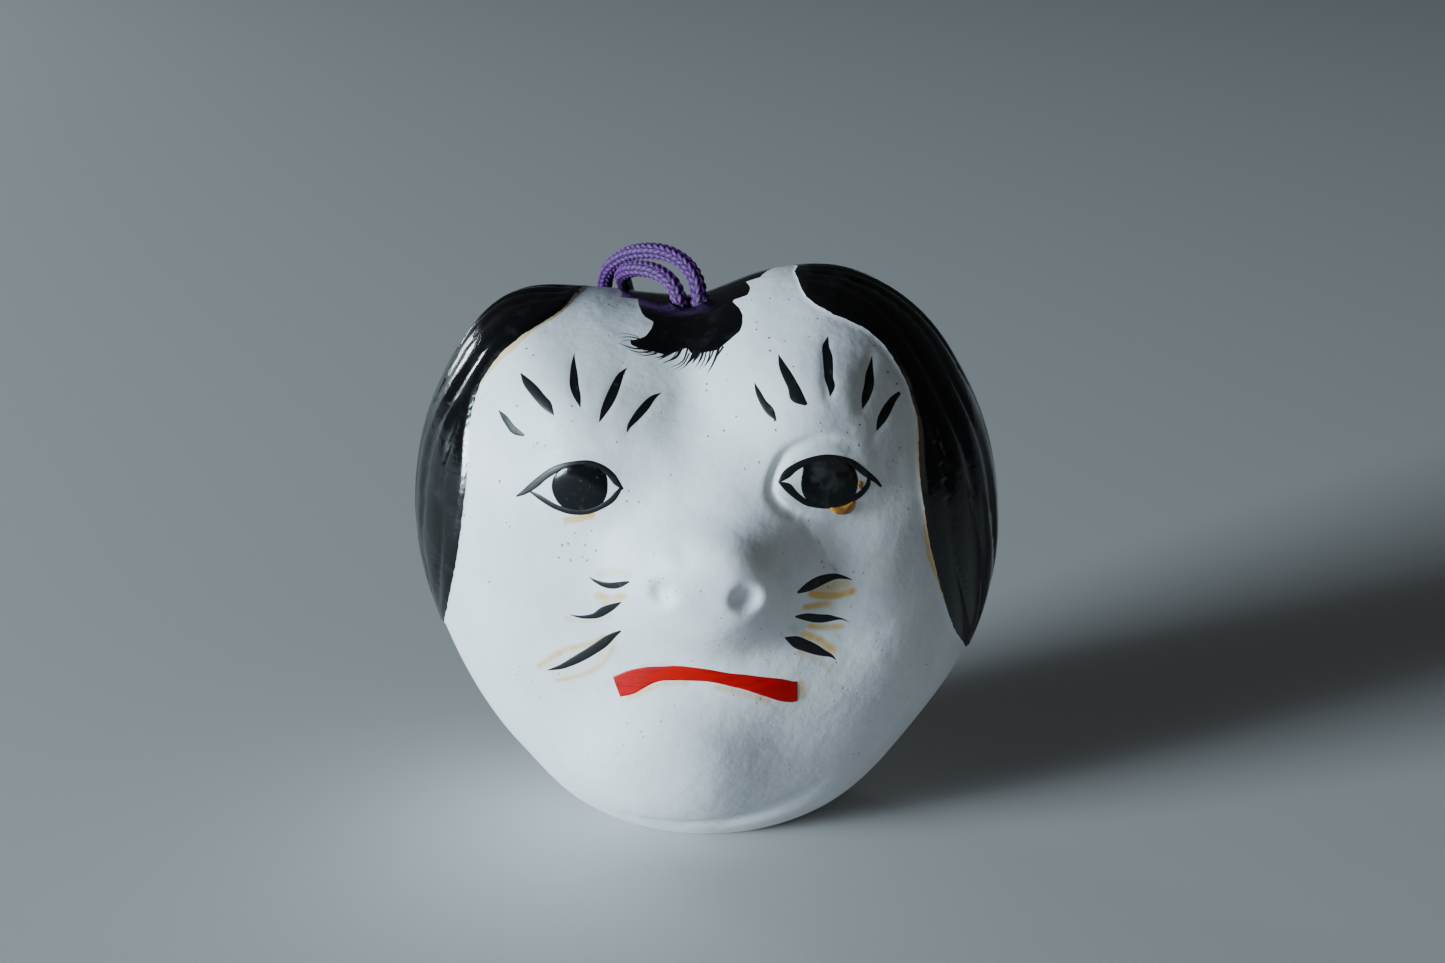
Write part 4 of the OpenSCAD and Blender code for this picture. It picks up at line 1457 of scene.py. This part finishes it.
@dataclass(frozen=True)
class Fringe:
    """The fine brush hairs along the forelock's lower edge: a root, a turn, a tip and the root's width."""

    hairs: tuple[tuple[tuple[float, float], tuple[float, float], tuple[float, float], float], ...] = (
        ((-9.6, 16.9), (-11.1, 17.2), (-12.4, 17.1), 0.16), ((-9.8, 16.6), (-11.1, 16.8),
        (-12.0, 16.6), 0.14),
        ((-9.0, 15.7), (-10.7, 15.8), (-12.5, 16.5), 0.22), ((-8.4, 15.4), (-10.0, 15.3),
        (-11.5, 15.8), 0.18),
        ((-7.8, 15.1), (-9.2, 14.9), (-10.4, 15.2), 0.16), ((-6.6, 15.1), (-7.4, 14.7), (-8.2, 14.7), 0.22),
        ((-4.8, 15.9), (-5.5, 14.7), (-7.0, 14.0), 0.34), ((-4.1, 15.8), (-4.7, 14.2), (-6.2, 13.4), 0.22),
        ((-3.9, 15.2), (-4.6, 13.9), (-5.8, 13.1), 0.18), ((-3.6, 15.0), (-4.2, 13.8), (-5.4, 12.9), 0.16),
        ((-3.2, 15.6), (-3.6, 14.6), (-4.4, 13.7), 0.5), ((-3.0, 15.3), (-3.2, 14.6), (-3.6, 13.8), 0.36),
        ((-2.2, 15.4), (-2.5, 14.5), (-3.1, 13.5), 0.2), ((-1.9, 15.4), (-2.2, 14.2), (-2.9, 13.0), 0.18),
        ((-1.4, 15.5), (-1.7, 14.3), (-2.4, 13.2), 0.2), ((-1.0, 15.6), (-1.4, 14.6), (-2.0, 13.6), 0.2),
        ((-0.4, 15.8), (-1.0, 14.1), (-1.9, 12.4), 0.3), ((0.1, 15.9), (-0.4, 15.1), (-0.8, 14.5), 0.24),
        ((-5.8, 15.4), (-6.6, 14.9), (-7.6, 14.3), 0.3), ((-2.6, 15.5), (-2.9, 14.8), (-3.4, 14.1), 0.3),
        ((-10.0, 17.2), (-11.3, 17.6), (-12.9, 17.5), 0.08), ((-7.2, 15.3), (-8.8, 15.2),
        (-10.9, 15.5), 0.12),
        ((-5.2, 15.6), (-6.0, 14.5), (-7.4, 13.7), 0.12), ((-2.4, 15.3), (-2.8, 14.1), (-3.4, 13.2), 0.12),
    )

    @property
    def strokes(self) -> tuple[Stroke, ...]:
        """The hairs as brush strokes that taper to nothing."""
        taper = (1.0, 0.85, 0.55, 0.04)
        return tuple(
            Stroke((root, turn, tip), *[tuple(width / 2 * t for t in taper)] * 2)
            for root, turn, tip, width in self.hairs
        )


@dataclass(frozen=True)
class Bead:
    """The run of ochre under the right eye, and the fleck in its outer corner."""

    patches: tuple[Patch, ...] = (
        Patch(((12.3, -3.0), (12.9, -3.6), (13.6, -3.9), (14.5, -3.8), (15.2, -3.4), (15.5, -2.7),
               (15.3, -2.2),
               (14.4, -2.6), (13.4, -2.9)), 0.2),
        Patch(((15.7, 0.0), (16.0, 0.1), (16.3, -0.1), (16.3, -0.6), (16.1, -0.9), (15.8, -0.7)), 0.02),
    )


@dataclass
class Paintwork:
    """The strokes and patches on the face, each kind one piece."""

    form: HeadForm
    sight: Sight = Sight()

    def lay(
        self, name: str, marks: Sequence[Stroke | Patch], film: Film, material: bpy.types.Material, slot: str
    ) -> bpy.types.Object:
        """Makes one kind of mark.

        Args:
            name: the piece's name.
            marks: the strokes or patches.
            film: how thick the paint is.
            material: its finish.
            slot: not used.

        Returns:
            The piece.
        """
        work = bmesh.new()
        for mark in marks:
            mark.paint(work, film, self.form, self.sight)
        made = skin_object(work, name, material)
        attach(made, "shell")
        return made

    def build(self) -> None:
        """Paints the whole face."""
        brush = BrushBlack().build("brush_black")
        self.lay("brow_strokes", Brows().strokes, Film(), brush, "black_hair")
        self.lay("whisker_strokes", Whiskers().strokes, Film(spread=1.3), brush, "black_hair")
        self.lay("fringe_hairs", Fringe().strokes, Film(0.05, 0.1, 0.015, 0.12, 10), brush, "black_hair")
        self.lay("eye_lines", EyeLines().strokes, Film(0.09), brush, "black_hair")
        self.lay("irises", Irises().patches, Film(0.08), IrisBlack().build("iris_black"), "black_hair")
        red, bead = LipRed().build("lip_red"), OchreBead().build("ochre_bead")
        self.lay("mouth_stroke", Mouth().strokes, Film(0.1, around=28, spread=1.0), red, "lip_red")
        self.lay("ochre_bead", Bead().patches, Film(0.12), bead, "ochre_paint")


# ---------------------------------------------------------------- pellet, cord and knot

@dataclass(frozen=True)
class Pellet:
    """The loose fired-clay ball inside, rolled by hand."""

    width: float = 12.0
    rest: tuple[float, float, float] = (0.0, 0.0, 11.15)
    cells: int = 72

    def build(self) -> bpy.types.Object:
        """Makes the piece."""
        work = bmesh.new()

        def place(along: np.ndarray, around: np.ndarray) -> np.ndarray:
            """A corner's point on the ball."""
            down, turn = along * np.pi, 2 * np.pi * around
            x, y, z = np.sin(down) * np.cos(turn), np.sin(down) * np.sin(turn), np.cos(down)
            dents = 0.012 * (1 + np.sin(3 * x + 1) * np.sin(4 * y + 2))
            lump = 1.0 - dents - 0.008 * (1 + np.sin(7 * z + 5 * x))
            return np.column_stack([x, y, z]) * (self.width / 2 * lump)[:, None] + np.array(self.rest)

        wrap(work, self.cells // 2, self.cells, place)
        made = skin_object(work, "rolled_pellet", BareClay().build("pellet_clay"))
        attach(made, "pellet")
        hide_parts("clay_pellet")
        return made


@dataclass(frozen=True)
class Braid:
    """A round eight-strand braid along a line, in millimetres."""

    width: float = 2.0
    pitch: float = 1.0
    columns: int = 8
    relief: float = 0.24
    swell: float = 0.06
    cells_per_column: int = 6
    ring_spacing: float = 0.125
    lean: float = 0.62
    carried: tuple[str, str] = ("crown", "strand")

    def frames(self, line: np.ndarray) -> tuple[np.ndarray, np.ndarray, np.ndarray]:
        """Directions along a line and two across it that turn as little as they can."""
        along = np.gradient(line, axis=0)
        along /= np.linalg.norm(along, axis=1, keepdims=True)
        side = np.zeros_like(line)
        start = np.cross(along[0], (0.3, 1.0, 0.2))
        side[0] = start / np.linalg.norm(start)
        for k in range(1, len(line)):
            turned = side[k - 1] - (side[k - 1] @ along[k]) * along[k]
            side[k] = turned / np.linalg.norm(turned)
        return along, side, np.cross(along, side)

    def add(self, work: bmesh.types.BMesh, route: Sequence[Sequence[float]], end_taper: float = 0.0) -> float:
        """Adds the braid to a bmesh.

        Args:
            work: the bmesh.
            route: the points it follows.
            end_taper: how much thinner it is at its far end, as a share.

        Returns:
            Its length in millimetres.
        """
        fine = smooth_line(route, 24)
        run = np.concatenate([[0.0], np.cumsum(np.linalg.norm(np.diff(fine, axis=0), axis=1))])
        rings = int(run[-1] / self.ring_spacing)
        at = np.linspace(0, run[-1], rings + 1)
        line = np.column_stack([np.interp(at, run, fine[:, k]) for k in range(3)])
        _, side, up = self.frames(line)

        def place(along: np.ndarray, around: np.ndarray) -> np.ndarray:
            """A corner's point on the braid, how far out it lies, and its place across the fibres."""
            k = np.round(along * rings).astype(int)
            column = np.floor(around * self.columns)
            across = around * self.columns - column
            way = np.where(column % 2 > 0, 1.0, -1.0)
            stitch = at[k] / self.pitch + way * (across - 0.5) * self.lean + 0.5 * np.floor(column / 2)
            lens = np.abs(np.sin(np.pi * stitch)) ** 0.8 * np.sin(np.pi * np.clip(across, 0.04, 0.96)) ** 0.7
            radius = (self.width / 2 + self.swell - self.relief * (1 - lens)) * (1 - end_taper * along)
            turn = 2 * np.pi * around
            out = side[k] * np.cos(turn)[:, None] + up[k] * np.sin(turn)[:, None]
            strand = 5.0 * (across + 0.18 * way * np.cos(np.pi * stitch))
            return np.column_stack([line[k] + out * radius[:, None], lens, strand])

        wrap(work, rings, self.columns * self.cells_per_column, place, self.carried)
        return float(run[-1])


@dataclass(frozen=True)
class HangingCord:
    """The doubled cord: out of the crown hole, over the left crest, down the back and round again."""

    braid: Braid = Braid()
    route: tuple[tuple[float, float, float], ...] = (
        (-0.9, 0, 60.5), (-0.9, 0, 63.5), (-0.9, 0.1, 66.6), (-1.2, 1.2, 69.2), (-2.6, 3, 71),
        (-5, 5.2, 71.8),
        (-8, 7.6, 71.5), (-11, 10.8, 70), (-13.6, 14.2, 67.1), (-14.6, 18, 62.4), (-14.8, 21.5, 57),
        (-15, 23, 51), (-15.4, 24, 45), (-16.2, 24, 39), (-16.8, 24, 33.4), (-15.6, 24.3, 30.3),
        (-12.6, 24.5, 29.1), (-9.6, 24.7, 30.3), (-8.4, 25, 33.4), (-9, 25, 39), (-10, 24.5, 45),
        (-10.6, 24, 51), (-11, 21.5, 57), (-11.4, 17.8, 62.2), (-11.5, 13.8, 65.6), (-11.4, 10.6, 67.4),
        (-10.4, 8.1, 68.8), (-8.6, 5.8, 69.7), (-6.2, 3.4, 69.9), (-4.2, 1.3, 69), (-3.2, 0.1, 66.8),
        (-3.1, 0, 63.5), (-3.1, 0, 60.5),
    )
    exit: tuple[float, float, float] = (-0.9, 0.0, 66.5)
    length: float = 140.5

    def build(self, yarn: bpy.types.Material, knot: bpy.types.Object) -> bpy.types.Object:
        """Makes the piece.

        Args:
            yarn: its material.
            knot: not used.

        Returns:
            The piece.
        """
        work = bmesh.new()
        measured = self.braid.add(work, self.route)
        made = skin_object(work, "braided_cord", yarn)
        log.info("cord: %.1f mm along its route", measured)
        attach(made, "shell")
        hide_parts("hanging_cord")
        return made


@dataclass(frozen=True)
class CordKnot:
    """The knot that holds the cord under the crown hole, with its two cut ends."""

    braid: Braid = Braid(width=1.9, ring_spacing=0.16)
    middle: tuple[float, float, float] = (-2.0, 0.0, 61.4)
    radius: float = 1.5
    lobe: float = 0.85
    tail: float = 8.4

    def build(self, yarn: bpy.types.Material) -> bpy.types.Object:
        """Makes the piece."""
        work = bmesh.new()
        turn = np.linspace(0, 2 * math.pi, 37)
        reach = self.radius + self.lobe * np.cos(1.5 * 2 * turn)
        x, y, z = self.middle
        loop = np.column_stack([
            x + reach * np.cos(2 * turn), y + reach * np.sin(2 * turn), z + 1.1 * np.sin(3 * turn)
        ])
        self.braid.add(work, loop.tolist())
        for sign in (-1, 1):
            tail = (
                (x + sign * 0.9, sign * 0.4, z), (x + sign * 1.0, sign * 0.7, z - 0.35 * self.tail),
                (x + sign * 1.3, sign * 0.8, z - 0.7 * self.tail),
                (x + sign * 1.5, sign * 0.5, z - self.tail),
            )
            self.braid.add(work, tail, end_taper=-0.12)
        made = skin_object(work, "tied_knot", yarn)
        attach(made, "shell")
        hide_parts("cord_knot")
        return made


# ---------------------------------------------------------------- the studio

@dataclass(frozen=True)
class Studio:
    """Floor, soft light and camera, in metres."""

    azimuth: float = Sight.azimuth
    elevation: float = Sight.elevation
    distance: float = 0.320
    target: tuple[float, float, float] = (0.002, 0.0, 0.044)
    lens: float = 63.8
    floor_half: float = 1.5
    sky: Colour = Colour(0.62, 0.66, 0.70)
    sky_strength: float = 0.05

    def camera(self) -> None:
        """Places the camera."""
        a, e = math.radians(self.azimuth), math.radians(self.elevation)
        back = Vector((math.sin(a) * math.cos(e), -math.cos(a) * math.cos(e), math.sin(e)))
        data = bpy.data.cameras.new("camera")
        data.lens = self.lens
        data.clip_start = 0.01
        made = bpy.data.objects.new("camera", data)
        made.location = Vector(self.target) + back * self.distance
        made.rotation_euler = back.to_track_quat("Z", "Y").to_euler()
        bpy.context.scene.collection.objects.link(made)
        bpy.context.scene.camera = made

    def light(
        self, name: str, place: tuple[float, float, float], size: float, watts: float, warmth: Colour
    ) -> None:
        """Hangs one soft square light that faces the head."""
        data = bpy.data.lights.new(name, "AREA")
        data.shape = "SQUARE"
        data.size = size
        data.energy = watts
        data.color = warmth.rgba[:3]
        made = bpy.data.objects.new(name, data)
        made.location = place
        made.rotation_euler = (Vector(place) - Vector(self.target)).to_track_quat("Z", "Y").to_euler()
        bpy.context.scene.collection.objects.link(made)

    def build(self) -> None:
        """Makes the floor, the lights and the world."""
        work = bmesh.new()
        bmesh.ops.create_grid(work, x_segments=2, y_segments=2, size=self.floor_half)
        floor = object_from(work, "studio_floor", StudioCard().build("studio_card"))
        self.light("window", (-1.24, -0.78, 0.26), 0.45, 58.0, Colour(0.70, 0.88, 1.0))
        self.light("side_window", (-0.70, 0.62, 0.16), 0.12, 1.2, Colour(0.78, 0.91, 1.0))
        self.light("fill", (0.60, -0.60, 0.35), 0.6, 0.35, Colour(1.0, 0.95, 0.9))
        world = bpy.data.worlds.new("world")
        world.use_nodes = True
        background = world.node_tree.nodes["Background"]
        background.inputs["Color"].default_value = self.sky.rgba
        background.inputs["Strength"].default_value = self.sky_strength
        bpy.context.scene.world = world


def main() -> None:
    """Builds the bell, piece by piece."""
    logging.basicConfig(level=logging.INFO, format="%(name)s %(relativeCreated)d ms: %(message)s")
    studio = Studio()
    studio.camera()
    yarn = PurpleBraid().build("purple_braid")
    knot = CordKnot().build(yarn)
    HangingCord().build(yarn, knot)
    form = HeadForm()
    shells = Shells(form)
    shells.build(Side.FRONT, "painted_face", "face_shell", "white_ground")
    shells.build(Side.BACK, "painted_back", "back_shell", "black_hair")
    Paintwork(form).build()
    Pellet().build()
    studio.build()


if __name__ == "__main__":
    main()
